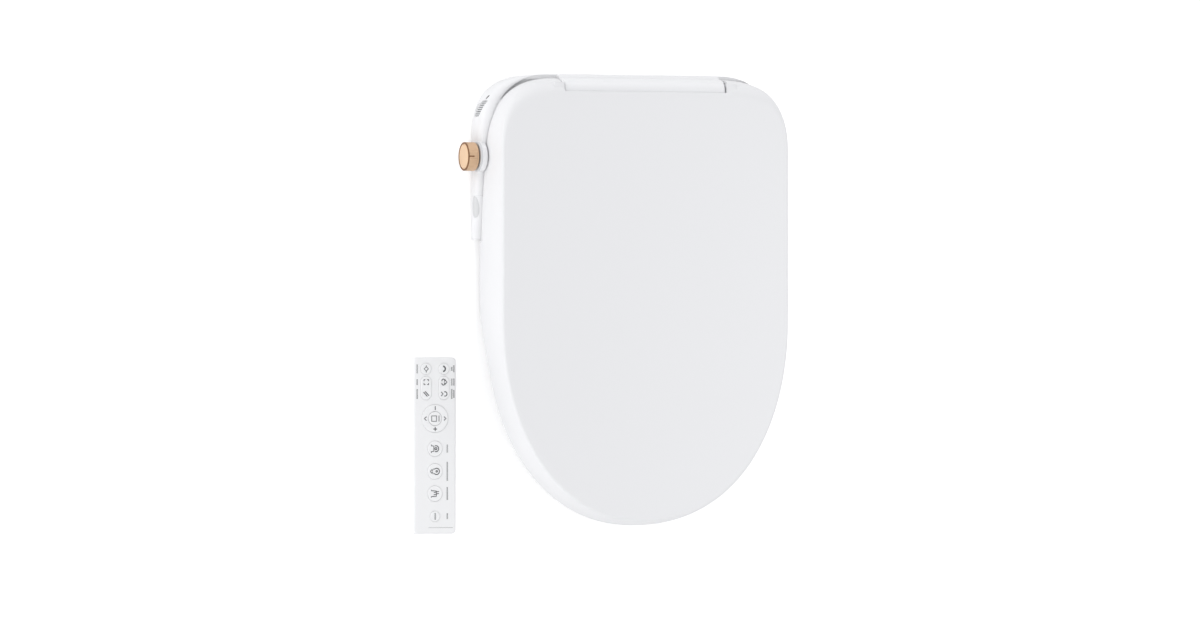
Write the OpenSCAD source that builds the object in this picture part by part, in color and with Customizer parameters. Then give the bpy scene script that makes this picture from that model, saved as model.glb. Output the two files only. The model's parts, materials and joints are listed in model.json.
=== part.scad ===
// Electric bidet seat: hinged ring and lid on a slim rear housing, a control arm with a turning
// knob on the left, two telescopic wash wands, a warm-air dryer and a loose remote control.
// Millimetres. +Z is up, -Y is the front, and the origin is midway between the two fixing bolts,
// on the surface of the bowl that the seat rests on.

/* [Overall] */
// Length from the rear edge of the housing to the front tip of the lid
seat_len = 520; // [430:1:630]
// Width across the top face of the lid
lid_w = 358; // [345:1:430]
// Height of the top face of the lid above the bowl
lid_top = 70; // [66:1:86]
// Distance from the fixing bolts to the rear edge
rear_y = 50; // [48:1:56]
// Thickness of the moulded walls
wall = 3; // [2.4:0.2:3.4]

/* [Lid] */
// How far the skirt of the lid spreads below its top face
flare = 4.5; // [2:0.5:6]
// Height of the lower edge of the skirt above the bowl
skirt_z = 8; // [6:0.5:12]
// Height that the skirt's lower edge gains towards the tip
skirt_rise = 20; // [0:1:26]
// Depth of the rounded front of the lid
front_depth = 240; // [200:5:260]
// Gap between the skirt and the housing below it
skirt_gap = 1.4; // [1:0.1:2]
// Half width of the rear notch that clears the hinge barrel
notch_x = 101; // [101:0.5:104]

/* [Seat ring] */
// Length of the opening in the ring
opening_len = 280; // [220:5:300]
// Width of the opening in the ring
opening_w = 216; // [190:2:230]
// Thickness of the ring without its bumpers
ring_h = 43; // [36:1:45]
// Height of the bumpers under the ring
bumper_h = 9; // [8:0.5:10]
// Thickness of the plate that closes the ring from below
ring_plate = 3; // [2:0.5:4]

/* [Hinge] */
// Radius of the hinge pins
pin_r = 5; // [4:0.5:5.5]
// Outer radius of the hinge knuckles
knuckle_r = 8; // [7.5:0.5:8.5]
// Radius of the fixed barrel between the lid's hinges
barrel_r = 13.6; // [12.6:0.2:13.6]
// Length of the barrel
barrel_len = 200; // [190:2:200]
// Radial clearance of a turning or sliding fit
run_fit = 0.05; // [0.02:0.01:0.1]

/* [Control arm] */
// How far the arm stands out beyond the lid's top face
arm_out = 12; // [10:0.5:16]
// Distance from the fixing bolts to the front end of the arm
arm_reach = 140; // [120:2:160]
// Diameter of the knob
knob_d = 33; // [28:1:34]
// Length of the knob
knob_len = 13.5; // [10:0.5:18]
// Height of the knob's axis above the bowl
knob_z = 22; // [21:0.5:24]
// Inward travel of the knob
knob_press = 1.5; // [1:0.1:1.8]

/* [Wash wands] */
// Radius of a wand
wand_r = 6.5; // [6:0.1:6.8]
// Length of a wand
wand_len = 100; // [96:1:104]
// Travel of a wand
wand_travel = 74; // [60:1:75]
// Downward tilt of the wands
wand_tilt = 12; // [10:0.5:13]
// Distance between the axes of the two wands
wand_pitch = 20; // [19:0.5:22]
// Module of the rack and its pinion
gear_m = 1; // [0.9:0.1:1.1]
// Teeth on the pinion
pinion_teeth = 12; // [12:1:14]

/* [Dryer] */
// Radius of the fan wheel
fan_r = 22; // [18:1:22]
// Height of the fan wheel
fan_h = 16; // [12:1:18]
// Width of the air outlet
outlet_w = 28; // [22:1:30]
// Height of the air outlet
outlet_h = 18; // [14:1:19]
// Blades on the fan wheel
fan_blades = 24; // [16:1:28]

/* [Fixing plate] */
// Distance between the two fixing bolts
bolt_spacing = 155; // [148:1:160]
// Width of the slots for the fixing bolts
slot_w = 8.5; // [8:0.1:9.5]
// Length of the slots for the fixing bolts
slot_len = 24; // [18:1:26]
// Width of the fixing plate
plate_w = 196; // [190:1:204]
// Depth of the fixing plate
plate_d = 70; // [60:1:74]

/* [Water inlet] */
// Outside diameter of the inlet's half-inch pipe thread
inlet_d = 20.955; // [16.6:0.005:21]
// Free length of the inlet's thread
inlet_len = 15; // [10:1:18]

/* [Remote control] */
// Width of the remote control
remote_w = 53; // [46:1:64]
// Length of the remote control
remote_len = 203; // [190:1:240]
// Thickness of the remote control
remote_h = 14; // [13:0.5:17]
// Travel of the remote's buttons
key_travel = 0.8; // [0.5:0.1:1]

/* [Hidden] */
$fn = 64;
eps = 0.01;
sheet = 0.2;
ring_draft = 0.3;
far = 400;

// Outline of the lid
half_w = lid_w / 2;
body_x = half_w + flare;
tip_y = rear_y - seat_len;
front_y = tip_y + front_depth;
front_n = 2.15;
corner_x = 100;
corner_depth = 85;
corner_y = rear_y - corner_depth - 4;
corner_n = 2.4;
panel = wall + 0.2;
under_lid = lid_top - panel;

// Hinge line, shared by the ring and the lid
hinge_y = rear_y - 18;
hinge_z = lid_top - 17;
lid_knuckle = [102, 114];
ring_knuckle = [116, 131];
notch_edge_y = rear_y - 20;
lobe_y = rear_y - 38;

// Housing
case_front = rear_y - 140;
case_z = bumper_h / 3;
part_z = 10;
block_in = 10;
cover_top = lid_top - 18;
saddle_z = hinge_z - 16;
arm_channel = [ring_knuckle[0] - 2, ring_knuckle[1] + 2];
channel_z = hinge_z - 8.6;
shoulder = [
    [-arm_reach, 13], [-85, 19], [-45, 27], [-29, 30.5], [-4, 34.5], [2, 35.5], [rear_y, 35.5]
];
arm_x = half_w + arm_out;
arm_w = 15;
arm_corner_x = arm_x - 96;
arm_corner_y = rear_y - 90;
arm_n = 3.2;
floor_z = case_z + wall;
inner_z = floor_z + 4;
sweep_r = 21.6;

encoder_x = half_w - block_in - wall - 0.2;

// Seat ring
ring_bottom = bumper_h;
ring_top = ring_bottom + ring_h;
ring_in = 7;
ring_rear = case_front - 2;
opening_l = min(opening_len, ring_rear - 33 - tip_y - 60);
opening_y = ring_rear - 33 - opening_l / 2;
opening_n = 2.3;
arch_z = ring_bottom + 27;
hollow_top = ring_top - 6;

// Wands, measured from the middle of their front faces
bay_y = case_front + 1.5;
bay_z = 17.5;
bay_w = wand_pitch + 2 * wand_r + 9;
bay_h = [9, 29];
rack_x = wand_r + 3 * gear_m;
pinion_r = gear_m * pinion_teeth / 2;
pinion_s = 24;
pinion_h = 5;
tooth_up = 0.8 * gear_m;
tooth_down = 1.15 * gear_m;
tooth_pitch = PI * gear_m;
backlash = 0.35 * gear_m;
guide_gap = 0.4;

// Pockets over the fixing bolts: width, depth and height
pocket = [34, 30, 12];

// Dryer
fan_x = outlet_w + 62;
scroll_r = fan_r + 8;
scroll_h = [inner_z, inner_z + fan_h + 6];
fan_y = -pocket[1] / 2 - wall - 1 - scroll_r;
fan_z = inner_z + 3;
scroll_mouth = fan_y - scroll_r - 1.5;
outlet_x = fan_x - scroll_r + outlet_w / 2;
outlet_z = 12.5;
arch_x = outlet_x + outlet_w / 2 + 8;
flap_y = case_front + 1.5;
flap_pin_z = outlet_z + outlet_h;
flap_pin_r = 1;
fan_shaft_r = 1.5;

// Fixing plate and its rails
pad_h = case_z * 0.3;
plate_top = case_z - 0.3;
rail_x = 45;
rail_neck = 8;
rail_head = 15;
rail_y = [-28, 22];
rail_top = floor_z + 3;

// Water inlet and the recess it stands in
inlet_r = inlet_d / 2;
recess = [[body_x - 33, 2, -1], [body_x + 20, 34, 33]];
inlet_neck_r = inlet_r - 0.6;
thread_x = recess[0][0] + 0.5;
inlet_y = 18;
inlet_z = 19;

// Cable gland in the rear wall
gland_x = -103;
gland_z = 20;

// Deodoriser drawer
drawer = [[body_x - 38, -42, 12], [body_x + 0.5, -16, 24]];
drawer_gap = 0.4;

// Remote control, lying face up to the left of the seat
remote_x = -half_w - 61;
remote_y = tip_y - 8 + remote_len / 2;
remote_split = remote_h / 2;
remote_r = 9;
key_top = remote_h + 0.8;
key_floor = remote_h - 4;
dial_y = 31;
dial_r = 16;
column_x = 11;
round_keys = [-3.5, -29.5, -55];
round_key_r = 9;

// ---- shared shapes ----

function squircle(cx, cy, a, b, n, from, to, steps) = [
    for (i = [0 : steps])
        let (t = from + (to - from) * i / steps, c = cos(t), s = sin(t))
            [cx + a * sign(c) * pow(abs(c), 2 / n), cy + b * sign(s) * pow(abs(s), 2 / n)]
];

function lid_points() = concat(
    squircle(corner_x, corner_y, half_w - corner_x, corner_depth, corner_n, 0, 90, 12),
    squircle(-corner_x, corner_y, half_w - corner_x, corner_depth, corner_n, 90, 180, 12),
    squircle(0, front_y, half_w, front_depth - flare, front_n, 180, 360, 56)
);

module lid_plan(grow = 0) {
    offset(delta = grow) polygon(lid_points());
}

module opening_plan(grow = 0) {
    offset(delta = grow)
        polygon(squircle(0, opening_y, opening_w / 2, opening_l / 2, opening_n, 0, 360, 56));
}

// Part of a plan between two distances from the bolt line
module between(y0, y1) {
    intersection() {
        children();
        translate([-far, y0]) square([2 * far, y1 - y0]);
    }
}

module case_plan(grow = 0) {
    between(case_front - grow, rear_y + grow) lid_plan(flare + grow);
}

module arm_plan() {
    polygon(concat(
        squircle(arm_corner_x * -1, arm_corner_y, 96, 90, arm_n, 90, 180, 20),
        [[-arm_x, -arm_reach], [-arm_x + arm_w, -arm_reach], [-arm_x + arm_w, case_front],
         [-corner_x, case_front]]
    ));
}

module body_plan(grow = 0) {
    offset(delta = grow) union() {
        case_plan();
        arm_plan();
    }
}

// Smooth stack: each row is a height and how far the plan grows there
module stack(rows) {
    hull() for (row = rows)
        translate([0, 0, row[0]]) linear_extrude(sheet) offset(delta = row[1]) children();
}

// Profile given as distances and heights, drawn out along X
module across(x0, x1, points) {
    translate([x0, 0, 0]) rotate([90, 0, 90]) linear_extrude(x1 - x0) polygon(points);
}

module box(low, high) {
    translate(low) cube(high - low);
}

module x_rod(x0, x1, y, z, r) {
    translate([x0, y, z]) rotate([0, 90, 0]) cylinder(h = x1 - x0, r = r);
}

module y_rod(y0, y1, x, z, r) {
    translate([x, y0, z]) rotate([-90, 0, 0]) cylinder(h = y1 - y0, r = r);
}

module both_sides() {
    children();
    mirror([1, 0, 0]) children();
}

module capsule_plan(len, wide) {
    square([len - wide, wide], center = true);
    for (side = [-1, 1]) translate([side * (len - wide) / 2, 0]) circle(d = wide);
}

module capsule(len, wide, high) {
    linear_extrude(high) capsule_plan(len, wide);
}

// Profile of the shoulder that the lid's skirt clears, lowered by a wall
function shoulder_profile(drop, floor_at) = concat(
    [[-arm_reach - far, floor_at], [-arm_reach - far, shoulder[0][1] - drop]],
    [for (p = shoulder) [p[0], p[1] - drop]],
    [[far, shoulder[6][1] - drop], [far, floor_at]]
);

// ---- housing ----

module inlet_recess(grow = 0) {
    box(recess[0] - [grow, grow, 0], recess[1] + [0, grow, grow]);
}

module rail_channels() {
    both_sides() {
        box([rail_x - rail_neck / 2 - 1, rail_y[0] - 1, -1],
            [rail_x + rail_neck / 2 + 1, far, floor_z + 1]);
        box([rail_x - rail_head / 2 - 1, rail_y[0] - 1, floor_z - eps],
            [rail_x + rail_head / 2 + 1, far, rail_top + 0.8]);
    }
}

module bolt_pockets(grow = 0) {
    both_sides()
        box([bolt_spacing / 2 - pocket[0] / 2 - grow, -pocket[1] / 2 - grow, -1],
            [bolt_spacing / 2 + pocket[0] / 2 + grow, pocket[1] / 2 + grow, pocket[2] + grow]);
}

module bay_opening() {
    box([-bay_w / 2, case_front - 20, bay_h[0]], [bay_w / 2, case_front + wall + 1, bay_h[1]]);
}

module release_hole() {
    y = -72;
    z = 11.5;
    for (end = [-1, 1])
        x_rod(body_x - 10, body_x + 5, y + end * 6, z, 3.4);
    box([body_x - 10, y - 6, z - 3.4], [body_x + 5, y + 6, z + 3.4]);
}

module inlet_hole() {
    x_rod(recess[0][0] - wall - 1, recess[0][0] + 2, inlet_y, inlet_z, inlet_neck_r + 0.3);
}

module gland_hole(r) {
    y_rod(rear_y - 12, rear_y + 1, gland_x, gland_z, r);
}

module lower_case() color("whitesmoke") {
    difference() {
        union() {
            translate([0, 0, case_z]) linear_extrude(wall) body_plan();
            translate([0, 0, case_z]) linear_extrude(part_z - case_z) difference() {
                case_plan();
                case_plan(-wall);
            }
            intersection() {
                inlet_recess(wall);
                translate([0, 0, case_z]) linear_extrude(part_z - case_z) case_plan();
            }
            for (p = [[-150, -60], [-130, 24], [-87, -53], [fan_x + 24, fan_y], [128, 17], [85, 32]])
                translate([p[0], p[1], floor_z - eps]) cylinder(h = inner_z - floor_z + eps, r = 3);
        }
        bolt_pockets(wall);
        inlet_recess();
        rail_channels();
        bay_opening();
        release_hole();
        inlet_hole();
    }
}

// Cups in the floor of the case that leave room for the bolts' heads
module bolt_cups() color("whitesmoke") {
    difference() {
        intersection() {
            bolt_pockets(wall);
            box([-far, -far, case_z], [far, far, far]);
        }
        bolt_pockets();
        rail_channels();
    }
}

module cover_form(thin) {
    difference() {
        union() {
            intersection() {
                translate([0, 0, part_z - thin]) linear_extrude(far) case_plan(-thin);
                across(-far, far, shoulder_profile(thin, 0));
            }
            intersection() {
                translate([0, 0, part_z - thin]) linear_extrude(cover_top - part_z)
                    between(case_front + thin, rear_y - thin) lid_plan(-block_in - thin);
                box([-far, -far, 0], [far, far, cover_top - thin]);
            }
        }
        both_sides() {
            box([arm_channel[0] - thin, -far, channel_z - thin],
                [arm_channel[1] + thin, far, far]);
            box([barrel_len / 2 - thin, lobe_y - thin, shoulder[6][1] - thin], [far, far, far]);
        }
        box([-far, hinge_y - barrel_r - 0.4 - thin, saddle_z - thin], [far, far, far]);
        both_sides() x_rod(barrel_len / 2 - thin, far, hinge_y, hinge_z, sweep_r + thin);
        inlet_recess(thin);
    }
}

module upper_cover() color("white") {
    difference() {
        cover_form(0);
        cover_form(wall);
        bay_opening();
        box([outlet_x - outlet_w / 2 - 0.5, case_front - 1, outlet_z - 0.5],
            [outlet_x + outlet_w / 2 + 0.5, case_front + wall + 1, flap_pin_z + 1.8]);
        x_rod(outlet_x - outlet_w / 2 - 2, outlet_x + outlet_w / 2 + 2,
              flap_y, flap_pin_z, flap_pin_r + run_fit);
        box(drawer[0] + [20, 0, 0] - drawer_gap * [0, 1, 1], drawer[1] + drawer_gap * [1, 1, 1]);
        x_rod(-body_x - 1, -encoder_x + 1, -45, knob_z, 3.6);
        inlet_hole();
        gland_hole(7.02);
        release_hole();
        rail_channels();
    }
}

module hinge_barrel() color("white") {
    half = barrel_len / 2;
    difference() {
        union() {
            x_rod(-half, half, hinge_y, hinge_z, barrel_r);
            box([-half, notch_edge_y - 6, saddle_z], [half, rear_y, hinge_z - 6]);
        }
        x_rod(-half + wall, half - wall, hinge_y, hinge_z, barrel_r - wall);
        x_rod(-half - 1, half + 1, hinge_y, hinge_z, pin_r + 0.02);
    }
}

module hinge_dampers() color("dimgray") {
    both_sides() difference() {
        x_rod(42, barrel_len / 2 - wall - 0.2, hinge_y, hinge_z, barrel_r - wall - 0.02);
        x_rod(72, barrel_len / 2, hinge_y, hinge_z, pin_r + 0.02);
    }
}

module hinge_pins() color("silver") {
    both_sides() x_rod(74, ring_knuckle[1] + 1, hinge_y, hinge_z, pin_r);
}

// ---- control arm ----

module knob_pod(r, x0, x1) {
    x_rod(x0, x1, -45, knob_z, r);
}

module grille_frame(grow) {
    translate([-arm_x + 4.4, rear_y - 40, knob_z - 1]) rotate([0, 0, -18.8])
        translate([-6, -9 - grow, -6.5 - grow]) cube([11, 18 + 2 * grow, 12 + 2 * grow]);
}

module arm_form(thin) {
    intersection() {
        translate([0, 0, floor_z - thin]) linear_extrude(far) body_plan(-thin);
        across(-far, far, shoulder_profile(thin, 0));
        box([-far, -arm_reach - 1, 0], [-arm_corner_x + 1 - thin, far, far]);
    }
}

module window_shape(depth, grow) {
    translate([-arm_x + depth, -102, 11.3]) rotate([90, 0, -90])
        capsule(24 + grow, 8 + grow, depth + 0.3);
}

module arm_cover() color("white") {
    pod_r = knob_d / 2 + 1;
    difference() {
        union() {
            difference() {
                arm_form(0);
                arm_form(2.4);
            }
            intersection() {
                knob_pod(pod_r, -arm_x, -arm_x + 5);
                box([-far, -far, floor_z], [far, far, far]);
            }
        }
        translate([0, 0, floor_z - 1]) linear_extrude(far) case_plan(0.02);
        knob_pod(3.6, -arm_x - 1, -arm_x + 12);
        grille_frame(0.1);
        window_shape(6, 0.2);
    }
}

module arm_grille() color("lightgray") {
    difference() {
        intersection() {
            grille_frame(0);
            difference() {
                translate([0, 0, 0]) linear_extrude(far) body_plan();
                translate([0, 0, -1]) linear_extrude(far) body_plan(-1.8);
            }
        }
        translate([-arm_x + 4.4, rear_y - 40, knob_z - 1]) rotate([0, 0, -18.8])
            for (i = [-3 : 3]) translate([-8, i * 2.3 - 0.5, -5]) cube([16, 1, 9]);
    }
}

module receiver_window() color("gainsboro") {
    intersection() {
        window_shape(5, 0);
        box([-arm_x - 1, -far, 0], [-arm_x + 2, far, far]);
    }
}

module knob_collar() color("lightgray") {
    difference() {
        knob_pod(knob_d / 2 + 0.6, -arm_x - 2, -arm_x);
        knob_pod(3.6, -arm_x - 3, -arm_x + 1);
    }
}

module rotary_encoder() color("dimgray") {
    difference() {
        box([-encoder_x, -53, knob_z - 8], [-encoder_x + 11, -37, knob_z + 8]);
        knob_pod(3 + run_fit, -arm_x, -encoder_x + 20);
    }
}

module knob_shaft() color("silver") {
    difference() {
        knob_pod(3, -arm_x - knob_len, -encoder_x + 9);
        box([-arm_x - knob_len - 1, -43.2, knob_z - 4], [-arm_x - 6, -40, knob_z + 4]);
    }
}

module knob_body() color("burlywood") {
    start = arm_x + 2.2 + knob_press;
    finish = arm_x + 2.2 + knob_press + knob_len;
    r = knob_d / 2;
    flutes = 36;
    difference() {
        translate([0, -45, knob_z]) rotate([0, -90, 0]) rotate_extrude($fn = 96) polygon([
            [3 + run_fit, start], [r - 0.8, start], [r, start + 0.8], [r, finish - 1.6],
            [r - 0.5, finish - 0.5], [r - 1.6, finish], [r - 2.4, finish],
            [r - 2.4, finish - 1.5], [3 + run_fit, finish - 1.5]
        ]);
        for (i = [0 : flutes - 1])
            translate([-start - 1.5, -45, knob_z]) rotate([i * 360 / flutes, 0, 0])
                translate([-knob_len / 2, 0, r + 0.35]) cube([knob_len - 5, 1.1, 1.1], center = true);
    }
}

module knob_face() color("navajowhite") {
    back = arm_x + 2.2 + knob_press + knob_len - 1.5;
    knob_pod(knob_d / 2 - 2.42, -back - 1.3, -back);
}

// ---- lid ----

module lid_form(thin, bottom) {
    stack([
        [bottom, flare - 0.5 - thin], [skirt_z + 22, flare - thin],
        [lid_top - 24, flare - 0.9 - thin], [lid_top - 10, 0.6 - thin],
        [lid_top - 4 - thin * 0.6, -2.6 - thin * 0.8], [lid_top - 1.1 - thin, -6 - thin * 0.6],
        [lid_top - sheet - (thin > 0 ? panel : 0), -9.5 - thin * 0.4]
    ]) lid_plan();
}

// Side profile of what the skirt leaves free above the housing, from a start in front of it
function skirt_cut(start) = concat(
    [[start, 0], [start, shoulder_height(start) + skirt_gap]],
    [for (p = shoulder) if (p[0] > start && p[0] < hinge_y) [p[0], p[1] + skirt_gap]],
    [[hinge_y, shoulder[6][1] + skirt_gap], [hinge_y, shoulder[6][1] + 6.5],
     [far, shoulder[6][1] + 6.5], [far, 0]]
);

function shoulder_height(y) = lookup(y, shoulder);

// Side profile of what the skirt leaves free below its rising front edge
rise_from = front_y + 25;
rise_to = front_y - 65;
rise_steps = 8;
rise_cut = concat(
    [[rise_from, 0]],
    [for (i = [0 : rise_steps])
        [rise_from + (rise_to - rise_from) * i / rise_steps,
         skirt_z + skirt_rise * (1 - cos(180 * i / rise_steps)) / 2]],
    [[-far, skirt_z + skirt_rise], [-far, 0]]
);

module lid_shell() color("white") {
    difference() {
        union() {
            difference() {
                lid_form(0, skirt_z);
                lid_form(wall, skirt_z - 5);
                box([-notch_x, notch_edge_y, 0], [notch_x, far, far]);
                across(-far, 0, skirt_cut(-arm_reach - 2));
                across(0, far, skirt_cut(ring_rear));
                across(-far, far, rise_cut);
            }
            both_sides() {
                x_rod(lid_knuckle[0], lid_knuckle[1], hinge_y, hinge_z, knuckle_r);
                box([lid_knuckle[0], hinge_y - knuckle_r, hinge_z],
                    [lid_knuckle[1], hinge_y + knuckle_r, under_lid + 0.5]);
            }
        }
        both_sides()
            x_rod(lid_knuckle[0] - 1, lid_knuckle[1] + 1, hinge_y, hinge_z, pin_r + run_fit);
    }
}

bumper_spots = [
    [half_w - 40, min(front_y + 45, -arm_reach - 20)], [half_w - 104, tip_y + 66]
];

module lid_bumpers() color("lightgray") {
    both_sides() for (spot = bumper_spots)
        translate([spot[0], spot[1], ring_top + 0.3])
            cylinder(h = under_lid - ring_top - 0.3, r = 6);
}

// ---- seat ring ----

module ring_arch() {
    box([-arch_x, ring_rear - 34, 0], [arch_x, far, arch_z]);
}

module seat_top() color("white") {
    low = ring_bottom + ring_plate;
    difference() {
        union() {
            intersection() {
                stack([
                    [low, -ring_in - 2], [low + 8, -ring_in], [ring_top - 12, -ring_in - ring_draft],
                    [ring_top - 4, -ring_in - 5], [ring_top - sheet, -ring_in - 15]
                ]) lid_plan();
                box([-far, tip_y, 0], [far, ring_rear, far]);
            }
            both_sides() {
                across(ring_knuckle[0], ring_knuckle[1], [
                    [ring_rear - 32, ring_top - 8], [ring_rear - 8, hinge_z + 4],
                    [hinge_y, hinge_z + knuckle_r], [hinge_y, hinge_z - 6.5],
                    [ring_rear - 0, hinge_z - 6.5], [ring_rear - 20, ring_top - 16]
                ]);
                x_rod(ring_knuckle[0], ring_knuckle[1], hinge_y, hinge_z, knuckle_r);
            }
        }
        stack([
            [low - 1, 0], [ring_top - 12, ring_draft], [ring_top - 4, 5], [ring_top + eps, 14]
        ]) opening_plan();
        difference() {
            translate([0, 0, low - eps]) linear_extrude(hollow_top - low) difference() {
                between(tip_y, ring_rear - 6) lid_plan(-ring_in - 8);
                opening_plan(8);
            }
            box([-arch_x - 4, ring_rear - 38, 0], [arch_x + 4, far, far]);
        }
        ring_arch();
        both_sides()
            x_rod(ring_knuckle[0] - 1, ring_knuckle[1] + 1, hinge_y, hinge_z, pin_r + run_fit);
    }
}

module seat_bottom() color("white") {
    difference() {
        translate([0, 0, ring_bottom]) linear_extrude(ring_plate) difference() {
            between(tip_y, ring_rear) lid_plan(-ring_in - 3);
            opening_plan(2);
        }
        ring_arch();
    }
}

module seat_heater() color("orange") {
    difference() {
        translate([0, 0, hollow_top - 1 - eps]) linear_extrude(1) difference() {
            between(tip_y, ring_rear - 7) lid_plan(-ring_in - 9);
            opening_plan(9);
        }
        box([-arch_x - 5, ring_rear - 39, 0], [arch_x + 5, far, far]);
    }
}

module seat_bumpers() color("gray") {
    for (side = [-1, 1], spot = bumper_spots)
        translate([side * spot[0], spot[1], 0])
            rotate([0, 0, side * (spot == bumper_spots[0] ? 90 : 28)])
                capsule(34, 14, bumper_h);
}

// ---- wash wands ----

module along_wand(x) {
    translate([x, bay_y, bay_z]) rotate([wand_tilt, 0, 0]) children();
}

module rack(side) {
    root = side * (rack_x - tooth_down);
    rack_end = pinion_s + wand_travel + 1;
    teeth = floor((rack_end - pinion_s) / tooth_pitch) + 3;
    translate([0, 0, -2.5]) linear_extrude(5) {
        polygon([[side * (wand_r - 1.2), 5], [root, 5],
                 [root, rack_end], [side * (wand_r - 1.2), rack_end]]);
        for (i = [0 : teeth]) {
            mid = pinion_s + (i - 2) * tooth_pitch + tooth_pitch / 2;
            base = tooth_pitch / 4 + 0.36 * tooth_down - backlash / 2;
            top = tooth_pitch / 4 - 0.36 * tooth_up - backlash / 2;
            if (mid < rack_end - 1)
                polygon([[root - side * 0.1, mid - base], [side * (rack_x + tooth_up), mid - top],
                         [side * (rack_x + tooth_up), mid + top], [root - side * 0.1, mid + base]]);
        }
    }
}

module wand(side) {
    along_wand(side * wand_pitch / 2) {
        difference() {
            union() {
                translate([0, 18, 0]) rotate([-90, 0, 0]) cylinder(h = wand_len - 18, r = wand_r);
                rotate([-90, 0, 0]) translate([0, 0, 8]) cylinder(h = 11, r = wand_r - 1.5);
                rack(side);
            }
            translate([0, 7, 0]) rotate([-90, 0, 0]) cylinder(h = wand_len, r = 2);
        }
    }
}

module wand_tip(side) {
    along_wand(side * wand_pitch / 2) difference() {
        union() {
            intersection() {
                rotate([-90, 0, 0]) cylinder(h = 18, r = wand_r);
                box([-wand_r, 0, -wand_r], [wand_r, 18, wand_r]);
            }
            translate([side * 1.5, -1.2, 0.5]) rotate([-90, 0, 0]) cylinder(h = 1.2, r = wand_r + 1);
        }
        rotate([-90, 0, 0]) translate([0, 0, 7.9]) cylinder(h = 11, r = wand_r - 1.48);
        box([side > 0 ? wand_r - 1.3 : -far, 4.8, -2.7], [side > 0 ? far : -wand_r + 1.3, 20, 2.7]);
        for (x = [-1.8, 0, 1.8]) translate([x, 5, 0]) cylinder(h = 20, r = 0.5);
    }
}

module wand_left() color("gainsboro") wand(-1);
module wand_right() color("gainsboro") wand(1);
module wand_tip_left() color("white") wand_tip(-1);
module wand_tip_right() color("white") wand_tip(1);

module pinion(side) {
    along_wand(side * (wand_pitch / 2 + rack_x + pinion_r)) translate([0, pinion_s, 0])
        difference() {
            translate([0, 0, -pinion_h / 2]) linear_extrude(pinion_h) {
                circle(r = pinion_r - tooth_down);
                for (i = [0 : pinion_teeth - 1]) rotate(i * 360 / pinion_teeth + 180) {
                    base = tooth_pitch / 4 + 0.3 * tooth_down - backlash / 2;
                    top = tooth_pitch / 4 - 0.42 * tooth_up - backlash / 2;
                    polygon([[pinion_r - tooth_down - 0.3, -base], [pinion_r + tooth_up, -top],
                             [pinion_r + tooth_up, top], [pinion_r - tooth_down - 0.3, base]]);
                }
            }
            cylinder(h = 20, r = 1.5 + run_fit, center = true);
        }
}

module pinion_left() color("tan") pinion(-1);
module pinion_right() color("tan") pinion(1);

module wand_motors() color("silver") {
    for (side = [-1, 1])
        along_wand(side * (wand_pitch / 2 + rack_x + pinion_r)) translate([0, pinion_s, 0]) {
            translate([0, 0, pinion_h / 2 + 1]) cylinder(h = 15, r = 10);
            translate([0, 0, -pinion_h / 2]) cylinder(h = pinion_h + 2, r = 1.5);
        }
}

// Height of the underside of the cradle's plate at a distance from the bolts
function cradle_z(y) =
    bay_z + (y - bay_y) * tan(wand_tilt) - (wand_r + 2) / cos(wand_tilt);

module wand_cradle() color("lightgray") {
    for (y = [-60, -8])
        across(-12, 12, [[y, floor_z], [y + 6, floor_z],
                         [y + 6, cradle_z(y + 6)], [y, cradle_z(y)]]);
    along_wand(0) difference() {
        union() {
            box([-wand_pitch - 1, 6, -wand_r - 3], [wand_pitch + 1, wand_len, -wand_r - guide_gap]);
            box([-wand_pitch / 2 - 4.5, 32, -wand_r - 1], [wand_pitch / 2 + 4.5, 46, wand_r + 3]);
            box([-wand_pitch / 2 - 4.5, 84, -wand_r - 1], [wand_pitch / 2 + 4.5, 94, wand_r + 3]);
        }
        for (side = [-1, 1]) translate([side * wand_pitch / 2, -1, 0]) rotate([-90, 0, 0])
            cylinder(h = wand_len + 10, r = wand_r + guide_gap);
    }
}

// ---- dryer ----

module fan_housing() color("silver") {
    difference() {
        union() {
            translate([fan_x, fan_y, scroll_h[0]])
                cylinder(h = scroll_h[1] - scroll_h[0], r = scroll_r);
            box([fan_x - scroll_r, scroll_mouth, scroll_h[0]],
                [fan_x - scroll_r + outlet_w, fan_y, scroll_h[1]]);
        }
        translate([fan_x, fan_y, scroll_h[0] + 2])
            cylinder(h = scroll_h[1] - scroll_h[0] - 4, r = scroll_r - 2);
        box([fan_x - scroll_r + 2, scroll_mouth - 1, scroll_h[0] + 2],
            [fan_x - scroll_r + outlet_w - 2, fan_y, scroll_h[1] - 2]);
        difference() {
            translate([fan_x, fan_y, scroll_h[1] - 3]) cylinder(h = 5, r = fan_r - 5);
            translate([fan_x, fan_y, scroll_h[1] - 4]) cylinder(h = 7, r = 11);
            for (turn = [0, 120, 240]) translate([fan_x, fan_y, scroll_h[1] - 4])
                rotate(turn) translate([0, -2, 0]) cube([fan_r, 4, 7]);
        }
        translate([fan_x, fan_y, scroll_h[1] - 3]) cylinder(h = 5, r = fan_shaft_r + 1);
    }
}

module fan_motor() color("dimgray") {
    translate([fan_x, fan_y, scroll_h[1]]) cylinder(h = 7, r = 10);
    translate([fan_x, fan_y, fan_z + 1]) cylinder(h = scroll_h[1] - fan_z, r = fan_shaft_r);
}

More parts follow.
